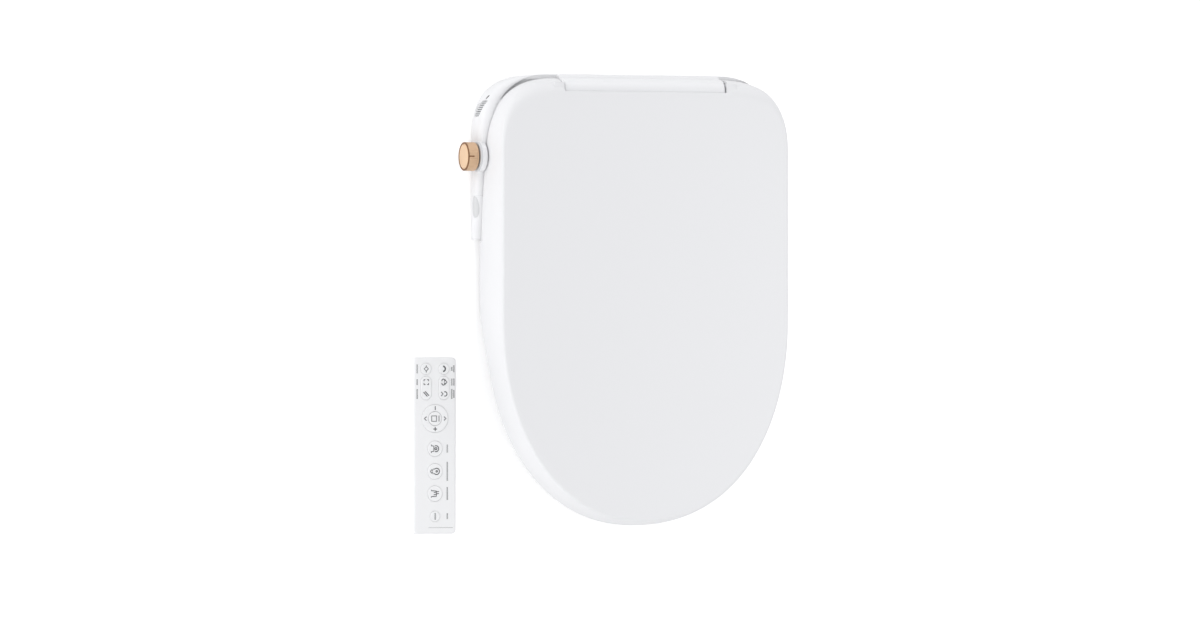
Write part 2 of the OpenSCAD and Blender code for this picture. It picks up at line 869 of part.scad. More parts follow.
module fan_impeller() color("ivory") {
    translate([fan_x, fan_y, fan_z]) difference() {
        union() {
            cylinder(h = 1.6, r = fan_r);
            cylinder(h = 9, r = 5);
            translate([0, 0, fan_h - 2]) difference() {
                cylinder(h = 1.6, r = fan_r);
                translate([0, 0, -1]) cylinder(h = 4, r = fan_r - 6);
            }
            for (i = [0 : fan_blades - 1]) rotate(i * 360 / fan_blades)
                translate([fan_r - 3.3, 0, fan_h / 2 - 0.4]) rotate(35)
                    cube([5, 0.9, fan_h - 1.6], center = true);
        }
        translate([0, 0, -1]) cylinder(h = 20, r = fan_shaft_r + run_fit);
    }
}

module dryer_duct() color("silver") {
    low = [fan_x - scroll_r, flap_y + flap_pin_r + 0.7, scroll_h[0]];
    high = [fan_x - scroll_r + outlet_w, scroll_mouth, scroll_h[1]];
    difference() {
        box(low, high);
        box(low + [2, -1, 2], high + [-2, 1, -2]);
    }
}

module dryer_heater() color("orange") {
    low = [fan_x - scroll_r + 2, case_front + wall + 3, scroll_h[0] + 2];
    size = [outlet_w - 4, 4, scroll_h[1] - scroll_h[0] - 4];
    translate(low) difference() {
        cube(size);
        for (i = [0 : 4], j = [0 : 2])
            translate([2 + i * (size[0] - 3) / 5, -1, 2 + j * (size[2] - 3) / 3])
                cube([(size[0] - 3) / 5 - 1, 8, (size[2] - 3) / 3 - 1]);
    }
}

module dryer_flap() color("white") {
    half = outlet_w / 2;
    difference() {
        union() {
            box([outlet_x - half, flap_y - 1, outlet_z], [outlet_x + half, flap_y + 1, flap_pin_z]);
            x_rod(outlet_x - half, outlet_x + half, flap_y, flap_pin_z, flap_pin_r + 0.4);
            x_rod(outlet_x - half - 1.8, outlet_x + half + 1.8, flap_y, flap_pin_z, flap_pin_r);
        }
        for (i = [0 : 3])
            box([outlet_x - half + 3, flap_y - 2, outlet_z + 3 + i * 3.4],
                [outlet_x + half - 3, flap_y - 0.5, outlet_z + 4.2 + i * 3.4]);
    }
}

// ---- water, air filter and electronics ----

module deodoriser_drawer() color("white") {
    difference() {
        box(drawer[0], drawer[1]);
        box(drawer[0] + [2, 2, 2], drawer[1] - [8, 2, -1]);
        box([drawer[1][0] - 4, drawer[0][1] + 6, drawer[0][2] + 3],
            [drawer[1][0] - 1.4, drawer[1][1] - 6, drawer[0][2] + 9]);
    }
    for (i = [0 : 4])
        box(drawer[0] + [5 + i * 4.6, 2, 2], drawer[0] + [7 + i * 4.6, drawer[1][1] - drawer[0][1] - 2, 10]);
}

module water_inlet() color("silver") {
    face = recess[0][0];
    difference() {
        union() {
            x_rod(face - wall - 4, thread_x + 1, inlet_y, inlet_z, inlet_neck_r);
            x_rod(thread_x, thread_x + inlet_len, inlet_y, inlet_z, inlet_r);
            x_rod(face - wall - 4, face - wall - 0.2, inlet_y, inlet_z, inlet_r + 1.4);
        }
        x_rod(face - 4, thread_x + inlet_len + 1, inlet_y, inlet_z, inlet_r - 3.2);
    }
}

module solenoid_valve() color("dimgray") {
    right = recess[0][0] - wall - 4;
    box([right - 28, 6, inner_z], [right, 30, 26]);
    translate([right - 14, 16, 26]) cylinder(h = 2.4, r = 8);
}

module water_pump() color("gray") {
    box([66, 20, inner_z], [104, 44, 27]);
    x_rod(56, 66, 32, 20, 7);
}

module water_heater() color("lightsteelblue") {
    difference() {
        box([-118, -84, inner_z], [-56, -22, 32]);
        for (i = [0 : 4]) box([-113 + i * 11, -80, 29], [-106 + i * 11, -26, 33]);
    }
}

module hoses() color("cadetblue") {
    valve_left = recess[0][0] - wall - 32;
    x_rod(104, valve_left, 25, 20, 4);
    x_rod(-87, 56, 38, 23, 3);
    translate([-87, 38, 23]) sphere(r = 3);
    y_rod(-22, 38, -87, 23, 3);
}

module control_board() color("seagreen") {
    box([-153, -78, inner_z], [-122, 16, inner_z + 1.6]);
    box([-151, -12, inner_z + 1.6], [-125, 14, 26]);
    box([-151, -34, inner_z + 1.6], [-136, -16, 22]);
    for (y = [-70, -60, -50]) translate([-130, y, inner_z + 1.6]) cylinder(h = 14, r = 4);
}

module cable_gland() color("dimgray") {
    difference() {
        union() {
            gland_body(7);
            y_rod(rear_y - wall - 3, rear_y - wall - 0.1, gland_x, gland_z, 9);
        }
        gland_body(3.6);
    }
}

module gland_body(r) {
    grow = r < 5 ? 1 : 0;
    y_rod(rear_y - wall - 6 - grow, rear_y - 0.4 + grow, gland_x, gland_z, r);
}

module release_button() color("lightgray") {
    translate([body_x + 1, -72, 11.5]) rotate([0, -90, 0]) rotate([0, 0, 90]) capsule(18, 6, 6);
}

// ---- fixing plate ----

module bolt_slots() {
    both_sides() translate([bolt_spacing / 2, 0, -1]) capsule(slot_len, slot_w, 20);
}

module fixing_plate() color("silver") {
    difference() {
        box([-plate_w / 2, -plate_d / 2, pad_h], [plate_w / 2, plate_d / 2, plate_top]);
        bolt_slots();
    }
    both_sides() {
        box([rail_x - rail_neck / 2, rail_y[0], plate_top - eps],
            [rail_x + rail_neck / 2, rail_y[1], rail_top - 2]);
        box([rail_x - rail_head / 2, rail_y[0], floor_z + 1.3 - 0.3],
            [rail_x + rail_head / 2, rail_y[1], rail_top]);
    }
}

module fixing_pad() color("dimgray") {
    difference() {
        box([-plate_w / 2 + 2, -plate_d / 2 + 2, 0], [plate_w / 2 - 2, plate_d / 2 - 2, pad_h]);
        bolt_slots();
    }
}

// ---- remote control ----

module remote_at() {
    translate([remote_x, remote_y, 0]) children();
}

module remote_plan(inset) {
    offset(r = remote_r - inset) square([remote_w - 2 * remote_r, remote_len - 2 * remote_r],
                                        center = true);
}

module key_places(grow) {
    for (y = round_keys) translate([0, y]) circle(r = round_key_r + grow);
    translate([0, dial_y]) circle(r = dial_r + grow);
    for (side = [-1, 1]) {
        translate([side * column_x, 88]) circle(r = 6.5 + grow);
        translate([side * column_x, 66]) rotate(90) offset(delta = grow) capsule_plan(27, 13);
    }
    translate([0, -81]) circle(r = 6 + grow);
}

module remote_front() color("white") {
    remote_at() difference() {
        hull() {
            translate([0, 0, remote_split]) linear_extrude(remote_h - remote_split - 2)
                remote_plan(0);
            translate([0, 0, remote_h - 0.6]) linear_extrude(0.6) remote_plan(2);
        }
        translate([0, 0, remote_split - 1]) linear_extrude(remote_h - remote_split - 1)
            remote_plan(2.5);
        translate([0, 0, remote_split]) linear_extrude(remote_h) key_places(0.3);
    }
}

module remote_back() color("white") {
    remote_at() difference() {
        hull() {
            linear_extrude(0.6) remote_plan(2);
            translate([0, 0, 2]) linear_extrude(remote_split - 2.02) remote_plan(0);
        }
        translate([0, 0, 2]) linear_extrude(remote_split) remote_plan(2.5);
        translate([-18, -90, -1]) cube([36, 80, 2.2]);
        translate([-15, -66, -1]) cube([30, 52, 4]);
    }
}

module remote_door() color("whitesmoke") {
    remote_at() translate([-17.7, -69.7, 0.1]) cube([35.4, 59.4, 1]);
}

module remote_board() color("seagreen") {
    remote_at() translate([0, 0, remote_split + 0.8]) linear_extrude(1.2) remote_plan(3);
}

module remote_batteries() color("goldenrod") {
    remote_at() for (x = [-6, 6]) {
        translate([x, -65, 5.4]) rotate([-90, 0, 0]) cylinder(h = 44, r = 2.4);
        translate([x, -21, 5.4]) rotate([-90, 0, 0]) cylinder(h = 1, r = 1);
    }
}

// Cap of a key, with the flange that keeps it under the front
module key_cap(x, y) {
    remote_at() translate([x, y, key_floor]) {
        linear_extrude(key_top - key_floor) children();
        linear_extrude(1.2) offset(delta = 0.9) children();
    }
}

module round_key(index) {
    key_cap(0, round_keys[index]) circle(r = round_key_r);
}

module key_one() color("white") round_key(0);
module key_two() color("white") round_key(1);
module key_three() color("white") round_key(2);
module key_lower() color("white") key_cap(0, -81) circle(r = 6);

module key_dial() color("white") {
    remote_at() translate([0, dial_y, key_floor]) difference() {
        union() {
            cylinder(h = key_top - key_floor, r = dial_r);
            cylinder(h = 1.2, r = dial_r + 0.9);
        }
        translate([0, 0, -1]) cylinder(h = 10, r = 8.3);
        translate([0, 0, -eps]) cylinder(h = 1.5 + key_travel, r = 9.4);
    }
}

module key_centre() color("white") {
    remote_at() translate([0, dial_y, key_floor]) {
        cylinder(h = key_top - key_floor, r = 8);
        cylinder(h = 1.2, r = 9);
    }
}

module small_key(side) {
    key_cap(side * column_x, 88) circle(r = 6.5);
}

module rocker_key(side) {
    key_cap(side * column_x, 66) rotate(90) capsule_plan(27, 13);
}

module key_small_left() color("white") small_key(-1);
module key_small_right() color("white") small_key(1);
module key_rocker_left() color("white") rocker_key(-1);
module key_rocker_right() color("white") rocker_key(1);

lower_case();
bolt_cups();
upper_cover();
hinge_barrel();
hinge_dampers();
hinge_pins();
arm_cover();
arm_grille();
receiver_window();
knob_collar();
rotary_encoder();
knob_shaft();
knob_body();
knob_face();
lid_shell();
lid_bumpers();
seat_top();
seat_bottom();
seat_heater();
seat_bumpers();
wand_cradle();
wand_motors();
wand_left();
wand_right();
wand_tip_left();
wand_tip_right();
pinion_left();
pinion_right();
fan_housing();
fan_motor();
fan_impeller();
dryer_duct();
dryer_heater();
dryer_flap();
deodoriser_drawer();
water_inlet();
solenoid_valve();
water_pump();
water_heater();
hoses();
control_board();
cable_gland();
release_button();
fixing_plate();
fixing_pad();
remote_front();
remote_back();
remote_door();
remote_board();
remote_batteries();
key_dial();
key_centre();
key_one();
key_two();
key_three();
key_lower();
key_small_left();
key_small_right();
key_rocker_left();
key_rocker_right();
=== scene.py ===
"""Electric bidet seat with its lid closed and its remote control beside it.

The moulded shells, the control arm, the knob and the remote are modelled here as smooth meshes
around the fixed frame. Small working parts keep their frame shape and get a finish.
Lengths are in millimetres until a mesh is made, where MM turns them into metres.
"""
import json
import math

import bmesh
import bpy
from mathutils import Matrix, Vector


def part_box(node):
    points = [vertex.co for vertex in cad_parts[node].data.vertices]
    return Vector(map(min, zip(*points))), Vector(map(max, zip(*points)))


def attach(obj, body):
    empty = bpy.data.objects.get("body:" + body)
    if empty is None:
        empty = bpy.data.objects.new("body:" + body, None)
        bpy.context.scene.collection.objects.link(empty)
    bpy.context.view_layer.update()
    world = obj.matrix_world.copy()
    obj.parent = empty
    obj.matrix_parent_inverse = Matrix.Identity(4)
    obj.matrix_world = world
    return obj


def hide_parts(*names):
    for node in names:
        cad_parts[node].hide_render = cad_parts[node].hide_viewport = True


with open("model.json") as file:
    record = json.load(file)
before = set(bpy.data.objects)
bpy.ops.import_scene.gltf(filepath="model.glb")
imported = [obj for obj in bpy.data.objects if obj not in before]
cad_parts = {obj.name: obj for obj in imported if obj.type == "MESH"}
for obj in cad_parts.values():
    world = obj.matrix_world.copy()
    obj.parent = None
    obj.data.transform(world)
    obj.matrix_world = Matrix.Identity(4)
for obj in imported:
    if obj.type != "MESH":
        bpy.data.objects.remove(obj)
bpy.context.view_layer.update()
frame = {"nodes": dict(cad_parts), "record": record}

MM = 0.001


def node_box(node):
    """Lowest and highest corner of a frame node, in millimetres."""
    low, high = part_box(node)
    return [c / MM for c in low], [c / MM for c in high]


# ---------------------------------------------------------------- sizes from the frame

LID_LOW, LID_HIGH = node_box("lid_shell")
RING_HIGH = node_box("seat_top")[1]
PLATE_LOW, PLATE_HIGH = node_box("seat_bottom")
COVER_LOW = node_box("upper_cover")[0]
ARM_LOW = node_box("arm_cover")[0]
BARREL_LOW, BARREL_HIGH = node_box("hinge_barrel")
PIN_LOW, PIN_HIGH = node_box("hinge_pins")
KNOB_LOW, KNOB_HIGH = node_box("knob_body")
REMOTE_LOW, REMOTE_HIGH = node_box("remote_front")

SIDES = ((-1, "left"), (1, "right"))

# The lid: a wall, a skirt that flares past the top face, an oval front and two rear corners.
# Each N is the power of a rounded outline: 2 is an ellipse, and more is squarer.
WALL = 3.0
FLARE = 4.5
HALF_W = LID_HIGH[0] - FLARE
REAR_Y = BARREL_HIGH[1]
LID_TOP = LID_HIGH[2]
LID_TIP = LID_LOW[1]
SKIRT_Z = LID_LOW[2]
FRONT_Y = LID_TIP + 240.0
FRONT_N = 2.15
CORNER_X = 100.0
CORNER_DEPTH = 85.0
CORNER_Y = REAR_Y - CORNER_DEPTH - 4.0
CORNER_N = 2.4
PANEL = WALL + 0.2

# The hinge line, and where along it each knuckle sits.
HINGE_Y = (PIN_LOW[1] + PIN_HIGH[1]) / 2
HINGE_Z = (PIN_LOW[2] + PIN_HIGH[2]) / 2
PIN_R = (PIN_HIGH[2] - PIN_LOW[2]) / 2
PIN_CLEAR = 0.08
KNUCKLE_R = 8.0
LID_KNUCKLE = (102.0, 114.0)
RING_KNUCKLE = (116.0, 126.0)
RING_KNUCKLE_R = 7.0
NOTCH_X = 101.0
NOTCH_Y = REAR_Y - 20.0

# The housing below the skirt: (y, height) knots of its shoulder, and the gap above it.
CASE_FRONT = COVER_LOW[1]
ARM_FRONT = ARM_LOW[1]
SKIRT_GAP = 1.4
SHOULDER = ((-140.0, 13.0), (-85.0, 19.0), (-45.0, 27.0), (-29.0, 30.5), (-4.0, 34.5),
            (2.0, 35.5), (REAR_Y, 35.5))

# ---------------------------------------------------------------- shader groups


def new_group(name, inputs, outputs):
    """Empty shader group with named sockets; returns the group and its two end nodes."""
    group = bpy.data.node_groups.new(name, "ShaderNodeTree")
    for label, kind, value in inputs:
        socket = group.interface.new_socket(label, in_out="INPUT", socket_type=kind)
        if value is not None:
            socket.default_value = value
    for label, kind in outputs:
        group.interface.new_socket(label, in_out="OUTPUT", socket_type=kind)
    return group, group.nodes.new("NodeGroupInput"), group.nodes.new("NodeGroupOutput")


def add(tree, kind, **settings):
    """New node with its attributes set."""
    node = tree.nodes.new(kind)
    for key, value in settings.items():
        setattr(node, key, value)
    return node


def math_node(tree, operation, first, second):
    """Math node fed by sockets or plain numbers."""
    node = add(tree, "ShaderNodeMath", operation=operation)
    for socket, value in zip(node.inputs, (first, second)):
        if isinstance(value, (int, float)):
            socket.default_value = value
        else:
            tree.links.new(value, socket)
    return node.outputs[0]


def noise(tree, scale, detail, stretch=(1, 1, 1)):
    """Noise over the object's own coordinates; scale is in features per metre."""
    place = add(tree, "ShaderNodeTexCoord")
    mapping = add(tree, "ShaderNodeMapping")
    mapping.inputs["Scale"].default_value = stretch
    texture = add(tree, "ShaderNodeTexNoise")
    texture.inputs["Detail"].default_value = detail
    tree.links.new(place.outputs["Object"], mapping.inputs["Vector"])
    tree.links.new(mapping.outputs["Vector"], texture.inputs["Vector"])
    if isinstance(scale, (int, float)):
        texture.inputs["Scale"].default_value = scale
    else:
        tree.links.new(scale, texture.inputs["Scale"])
    return texture.outputs["Fac"]


def make_skin_group():
    """Moulded or painted skin: slow colour drift, handled patches and a fine height."""
    group, given, result = new_group(
        "moulded_skin",
        (("Color", "NodeSocketColor", (0.8, 0.8, 0.8, 1)),
         ("Drift", "NodeSocketFloat", 0.03),
         ("Roughness", "NodeSocketFloat", 0.2),
         ("Patches", "NodeSocketFloat", 0.05),
         ("Grain", "NodeSocketFloat", 1500.0)),
        (("Color", "NodeSocketColor"), ("Roughness", "NodeSocketFloat"),
         ("Height", "NodeSocketFloat")))
    slow = noise(group, 7.0, 3.0)
    centred = math_node(group, "SUBTRACT", slow, 0.5)
    lift = math_node(group, "MULTIPLY_ADD", centred, given.outputs["Drift"])
    lift.node.inputs[2].default_value = 1.0
    tint = add(group, "ShaderNodeMix", data_type="RGBA", blend_type="MULTIPLY")
    tint.inputs["Factor"].default_value = 1.0
    group.links.new(given.outputs["Color"], tint.inputs[6])
    group.links.new(lift, tint.inputs[7])
    patches = noise(group, 28.0, 4.0)
    worn = math_node(group, "MULTIPLY", math_node(group, "SUBTRACT", patches, 0.5),
                     given.outputs["Patches"])
    rough = math_node(group, "ADD", given.outputs["Roughness"], worn)
    group.links.new(tint.outputs[2], result.inputs["Color"])
    group.links.new(rough, result.inputs["Roughness"])
    group.links.new(noise(group, given.outputs["Grain"], 2.0), result.inputs["Height"])
    return group


def make_lines_group():
    """Fine turned or brushed lines along one axis of the object."""
    group, given, result = new_group(
        "fine_lines",
        (("Pitch", "NodeSocketFloat", 3000.0), ("Depth", "NodeSocketFloat", 0.1),
         ("Roughness", "NodeSocketFloat", 0.3)),
        (("Height", "NodeSocketFloat"), ("Roughness", "NodeSocketFloat")))
    lines = noise(group, given.outputs["Pitch"], 2.0, (1, 0.02, 0.02))
    centred = math_node(group, "SUBTRACT", lines, 0.5)
    varied = math_node(group, "MULTIPLY", centred, given.outputs["Depth"])
    group.links.new(lines, result.inputs["Height"])
    group.links.new(math_node(group, "ADD", varied, given.outputs["Roughness"]),
                    result.inputs["Roughness"])
    return group


SKIN = make_skin_group()
LINES = make_lines_group()


def new_material(name):
    """Material with an empty tree, its Principled shader and its output joined."""
    material = bpy.data.materials.new(name)
    material.use_nodes = True
    tree = material.node_tree
    tree.nodes.clear()
    shader = add(tree, "ShaderNodeBsdfPrincipled")
    output = add(tree, "ShaderNodeOutputMaterial")
    tree.links.new(shader.outputs["BSDF"], output.inputs["Surface"])
    return material, tree, shader


def place_group(tree, group, **values):
    """Group node with its inputs set."""
    node = add(tree, "ShaderNodeGroup", node_tree=group)
    for label, value in values.items():
        node.inputs[label].default_value = value
    return node


def add_bump(tree, shader, height, distance):
    """Bump on the shader from a height; distance is the full relief in metres."""
    bump = add(tree, "ShaderNodeBump")
    bump.inputs["Distance"].default_value = distance
    bump.inputs["Strength"].default_value = 1.0
    tree.links.new(height, bump.inputs["Height"])
    tree.links.new(bump.outputs["Normal"], shader.inputs["Normal"])


def skin_material(name, color, roughness, drift, patches, grain, depth, coat=0.0,
                  coat_roughness=0.08, metallic=0.0):
    """Plastic, rubber or paint with the shared skin.

    drift and patches are how far colour and roughness wander, grain is in features per metre,
    and depth is the grain's relief in metres.
    """
    material, tree, shader = new_material(name)
    skin = place_group(tree, SKIN, Color=(*color, 1), Drift=drift, Roughness=roughness,
                       Patches=patches, Grain=grain)
    tree.links.new(skin.outputs["Color"], shader.inputs["Base Color"])
    tree.links.new(skin.outputs["Roughness"], shader.inputs["Roughness"])
    add_bump(tree, shader, skin.outputs["Height"], depth)
    shader.inputs["Coat Weight"].default_value = coat
    shader.inputs["Coat Roughness"].default_value = coat_roughness
    shader.inputs["Metallic"].default_value = metallic
    return material


def metal_material(name, color, roughness, depth):
    """Bare metal with fine lines; depth is the lines' relief in metres."""
    material, tree, shader = new_material(name)
    lines = place_group(tree, LINES, Pitch=4000.0, Depth=0.12, Roughness=roughness)
    skin = place_group(tree, SKIN, Color=(*color, 1), Drift=0.08)
    tree.links.new(skin.outputs["Color"], shader.inputs["Base Color"])
    tree.links.new(lines.outputs["Roughness"], shader.inputs["Roughness"])
    add_bump(tree, shader, lines.outputs["Height"], depth)
    shader.inputs["Metallic"].default_value = 1.0
    return material


MATERIALS = {
    "lid_white": skin_material("lid_white", (0.80, 0.80, 0.81), 0.42, 0.012, 0.03, 900.0,
                               0.000004, coat=0.06, coat_roughness=0.25),
    "seat_white": skin_material("seat_white", (0.80, 0.80, 0.805), 0.2, 0.015, 0.04, 900.0,
                                0.000004, coat=0.4),
    "housing_white": skin_material("housing_white", (0.84, 0.84, 0.85), 0.3, 0.02, 0.05,
                                   1600.0, 0.000006),
    "light_grey_plastic": skin_material("light_grey_plastic", (0.66, 0.665, 0.675), 0.4, 0.04,
                                        0.08, 2200.0, 0.00001),
    "dark_plastic": skin_material("dark_plastic", (0.025, 0.026, 0.028), 0.45, 0.2, 0.12,
                                  2200.0, 0.000015),
    "gold_knob": skin_material("gold_knob", (0.92, 0.64, 0.40), 0.3, 0.04, 0.06, 3000.0,
                               0.000006, metallic=0.4, coat=0.25),
    "steel": metal_material("steel", (0.56, 0.57, 0.58), 0.3, 0.000008),
    "rubber_grey": skin_material("rubber_grey", (0.42, 0.43, 0.45), 0.62, 0.08, 0.1, 2600.0,
                                 0.00002),
    "wand_white": skin_material("wand_white", (0.78, 0.79, 0.80), 0.18, 0.02, 0.04, 1500.0,
                                0.000004, coat=0.3),
    "gear_plastic": skin_material("gear_plastic", (0.66, 0.60, 0.45), 0.4, 0.06, 0.08, 2000.0,
                                  0.00001),
    "duct_plastic": skin_material("duct_plastic", (0.33, 0.35, 0.37), 0.48, 0.06, 0.1, 1800.0,
                                  0.00002),
    "heater_film": skin_material("heater_film", (0.48, 0.22, 0.07), 0.35, 0.12, 0.1, 900.0,
                                 0.00001),
    "brass": metal_material("brass", (0.66, 0.47, 0.19), 0.28, 0.000012),
    "hose": skin_material("hose", (0.10, 0.17, 0.20), 0.5, 0.1, 0.1, 2400.0, 0.00002),
    "board": skin_material("board", (0.02, 0.12, 0.04), 0.4, 0.2, 0.12, 1200.0, 0.00002),
    "remote_white": skin_material("remote_white", (0.865, 0.865, 0.87), 0.42, 0.012, 0.04,
                                  2400.0, 0.000006),
    "battery": skin_material("battery", (0.55, 0.36, 0.08), 0.3, 0.08, 0.08, 1800.0,
                             0.000006, metallic=0.5),
}
INK = skin_material("printed_ink", (0.07, 0.073, 0.078), 0.5, 0.08, 0.08, 2400.0, 0.000004)
SMOKED = skin_material("smoked_plastic", (0.67, 0.675, 0.68), 0.3, 0.03, 0.06, 2000.0, 0.000006)
# Darker copy of the knob's gold for its fluted side: painted shade for the side turned away from
# the light.
KNOB_SIDE_SHADE = skin_material("knob_side_shade", (0.66, 0.44, 0.27), 0.32, 0.05, 0.08, 3000.0, 0.000008,
                          metallic=0.45, coat=0.2)
# Dark brown copy of the knob's gold: painted shade for the groove round the knob's face and for
# the pointer's notch.
KNOB_GROOVE_SHADE = skin_material("knob_groove_shade", (0.26, 0.115, 0.045), 0.34, 0.06, 0.08, 3000.0, 0.000006,
                         metallic=0.5, coat=0.2)

SLOT_OF = {row["node"]: row["material_slot"] for row in frame["record"]["subparts"]}


def finish_frame_nodes():
    """Gives every frame node the finish of its slot."""
    for name, node in frame["nodes"].items():
        node.data.materials.clear()
        node.data.materials.append(MATERIALS[SLOT_OF[name]])


# ---------------------------------------------------------------- mesh helpers

# Points closer than WELD and edges shorter than SLIVER, in metres, are merged away. Faces that
# turn by less than FLAT are one face, and edges that turn by more than SHARP degrees stay crisp.
WELD = 0.000002
SLIVER = 0.000001
FLAT = math.radians(0.4)
SHARP = 32.0


def new_object(name, mesh_data, mend):
    """Linked object from (vertices in mm, faces), welded, with its faces turned outward."""
    vertices, faces = mesh_data
    mesh = bpy.data.meshes.new(name)
    mesh.from_pydata([[c * MM for c in v] for v in vertices], [], faces)
    if mend:
        mesh.validate()
    bm = bmesh.new()
    bm.from_mesh(mesh)
    bmesh.ops.remove_doubles(bm, verts=bm.verts, dist=WELD)
    if mend:
        bmesh.ops.dissolve_degenerate(bm, edges=bm.edges, dist=SLIVER)
    bmesh.ops.recalc_face_normals(bm, faces=bm.faces)
    bm.to_mesh(mesh)
    bm.free()
    made = bpy.data.objects.new(name, mesh)
    bpy.context.scene.collection.objects.link(made)
    return made


def loose(name, mesh_data):
    """Plain object used to cut or join, in no body."""
    return new_object(name, mesh_data, False)


def new_piece(name, mesh_data, slot_name, body, node=None, material=None):
    """Piece that rides on a body and may stand for frame nodes."""
    piece = new_object(name, mesh_data, True)
    piece.data.materials.append(material or MATERIALS[slot_name])
    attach(piece, body)
    if node:
        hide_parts(*node)
    return piece


def apply_modifiers(piece):
    """Bakes the piece's modifiers into its mesh."""
    graph = bpy.context.evaluated_depsgraph_get()
    made = bpy.data.meshes.new_from_object(piece.evaluated_get(graph))
    old = piece.data
    piece.modifiers.clear()
    piece.data = made
    bpy.data.meshes.remove(old)


def shade(piece, angle=SHARP):
    """Smooth shading with edges kept where the surface turns sharply."""
    mesh = piece.data
    for polygon in mesh.polygons:
        polygon.use_smooth = True
    mesh.set_sharp_from_angle(angle=math.radians(angle))


def plain_piece(name, mesh_data, slot_name, body, node=None, material=None, angle=SHARP):
    """Piece that needs no cutting, with its shading done."""
    shade(new_piece(name, mesh_data, slot_name, body, node, material), angle)


def bevel(piece, width, segments, angle=35.0):
    """Rounds the sharp edges of a piece by a width in millimetres."""
    modifier = piece.modifiers.new("rounding", "BEVEL")
    modifier.width = width * MM
    modifier.segments = segments
    modifier.limit_method = "ANGLE"
    modifier.angle_limit = math.radians(angle)
    modifier.harden_normals = False
    apply_modifiers(piece)


def eased_copy(node, body, slot_name, width):
    """Own piece with a frame node's form, its flat faces merged and its edges rounded."""
    source = frame["nodes"][node]
    vertices = [tuple(c / MM for c in source.matrix_world @ v.co) for v in source.data.vertices]
    faces = [tuple(polygon.vertices) for polygon in source.data.polygons]
    piece = new_piece(node + "_skin", (vertices, faces), slot_name, body, [node])
    bm = bmesh.new()
    bm.from_mesh(piece.data)
    bmesh.ops.dissolve_limit(bm, angle_limit=FLAT, verts=bm.verts, edges=bm.edges)
    bm.to_mesh(piece.data)
    bm.free()
    bevel(piece, width, 3, 40.0)
    shade(piece)


def combine(piece, others, operation):
    """Cuts or joins other pieces into one, and removes them."""
    for other in others:
        modifier = piece.modifiers.new("shape", "BOOLEAN")
        modifier.operation = operation
        modifier.solver = "EXACT"
        modifier.object = other
    bpy.context.view_layer.update()
    apply_modifiers(piece)
    for other in others:
        bpy.data.objects.remove(other)


def sweep(start, stop, step):
    """Angles in radians from one number of degrees to another, both included."""
    return [math.radians(t) for t in range(start, stop + (1 if step > 0 else -1), step)]


def skin_rings(rings, caps=True):
    """Vertices and faces of a surface through closed rings with equal numbers of points."""
    count = len(rings[0])
    vertices = [p for ring in rings for p in ring]
    faces = []
    for row in range(len(rings) - 1):
        for i in range(count):
            j = (i + 1) % count
            a, b = row * count, (row + 1) * count
            faces.append((a + i, a + j, b + j, b + i))
    if caps:
        faces.append(tuple(range(count))[::-1])
        last = (len(rings) - 1) * count
        faces.append(tuple(range(last, last + count)))
    return vertices, faces


def box_mesh(low, high):
    """Box between two corners."""
    x0, y0, z0 = low
    x1, y1, z1 = high
    rings = [[(x0, y0, z), (x1, y0, z), (x1, y1, z), (x0, y1, z)] for z in (z0, z1)]
    return skin_rings(rings)


def lathe(profile, place, steps=96, hollow=False):
    """Turned shape: profile rows are (along, radius), place maps (along, u, v) to a point.

    A hollow one's profile closes on itself, as a bush's does; another one has flat ends.
    """
    rings = []
    for along, radius in profile + profile[:1] if hollow else profile:
        rings.append([place(along, radius * math.cos(2 * math.pi * i / steps),
                            radius * math.sin(2 * math.pi * i / steps))
                      for i in range(steps)])
    return skin_rings(rings, caps=not hollow)


def about_hinge(along, u, v):
    """Place for turned shapes on the hinge line."""
    return (along, HINGE_Y + u, HINGE_Z + v)


def extrude_profile(points, x0, x1):
    """Outline in (y, z) drawn out along X."""
    return skin_rings([[(x, y, z) for y, z in points] for x in (x0, x1)])


# ---------------------------------------------------------------- outlines


def arc_points(cx, cy, radius, start, stop, steps=20):
    """Points along an arc between two angles in degrees."""
    points = []
    for i in range(steps + 1):
        a = math.radians(start + (stop - start) * i / steps)
        points.append((cx + radius * math.cos(a), cy + radius * math.sin(a)))
    return points


def squircle(cx, cy, a, b, power, start, stop, steps):
    """Points of a superellipse between two angles in degrees."""
    points = []
    for i in range(steps + 1):
        t = math.radians(start + (stop - start) * i / steps)
        c, s = math.cos(t), math.sin(t)
        points.append((cx + a * math.copysign(abs(c) ** (2 / power), c),
                       cy + b * math.copysign(abs(s) ** (2 / power), s)))
    return points


def resample(points, count, closed=True):
    """Evenly spaced points along an outline."""
    path = points + [points[0]] if closed else points
    lengths = [0.0]
    for a, b in zip(path, path[1:]):
        lengths.append(lengths[-1] + math.dist(a, b))
    total, made, k = lengths[-1], [], 0
    for i in range(count):
        goal = total * i / (count if closed else count - 1)
        while k < len(path) - 2 and lengths[k + 1] < goal:
            k += 1
        span = lengths[k + 1] - lengths[k]
        t = (goal - lengths[k]) / span if span else 0.0
        made.append(tuple(p + (q - p) * t for p, q in zip(path[k], path[k + 1])))
    return made


def normals(points):
    """Outward unit normals of a closed outline that runs anticlockwise."""
    count, made = len(points), []
    for i in range(count):
        before, after = points[i - 1], points[(i + 1) % count]
        dx, dy = after[0] - before[0], after[1] - before[1]
        length = math.hypot(dx, dy) or 1.0
        made.append((dy / length, -dx / length))
    return made


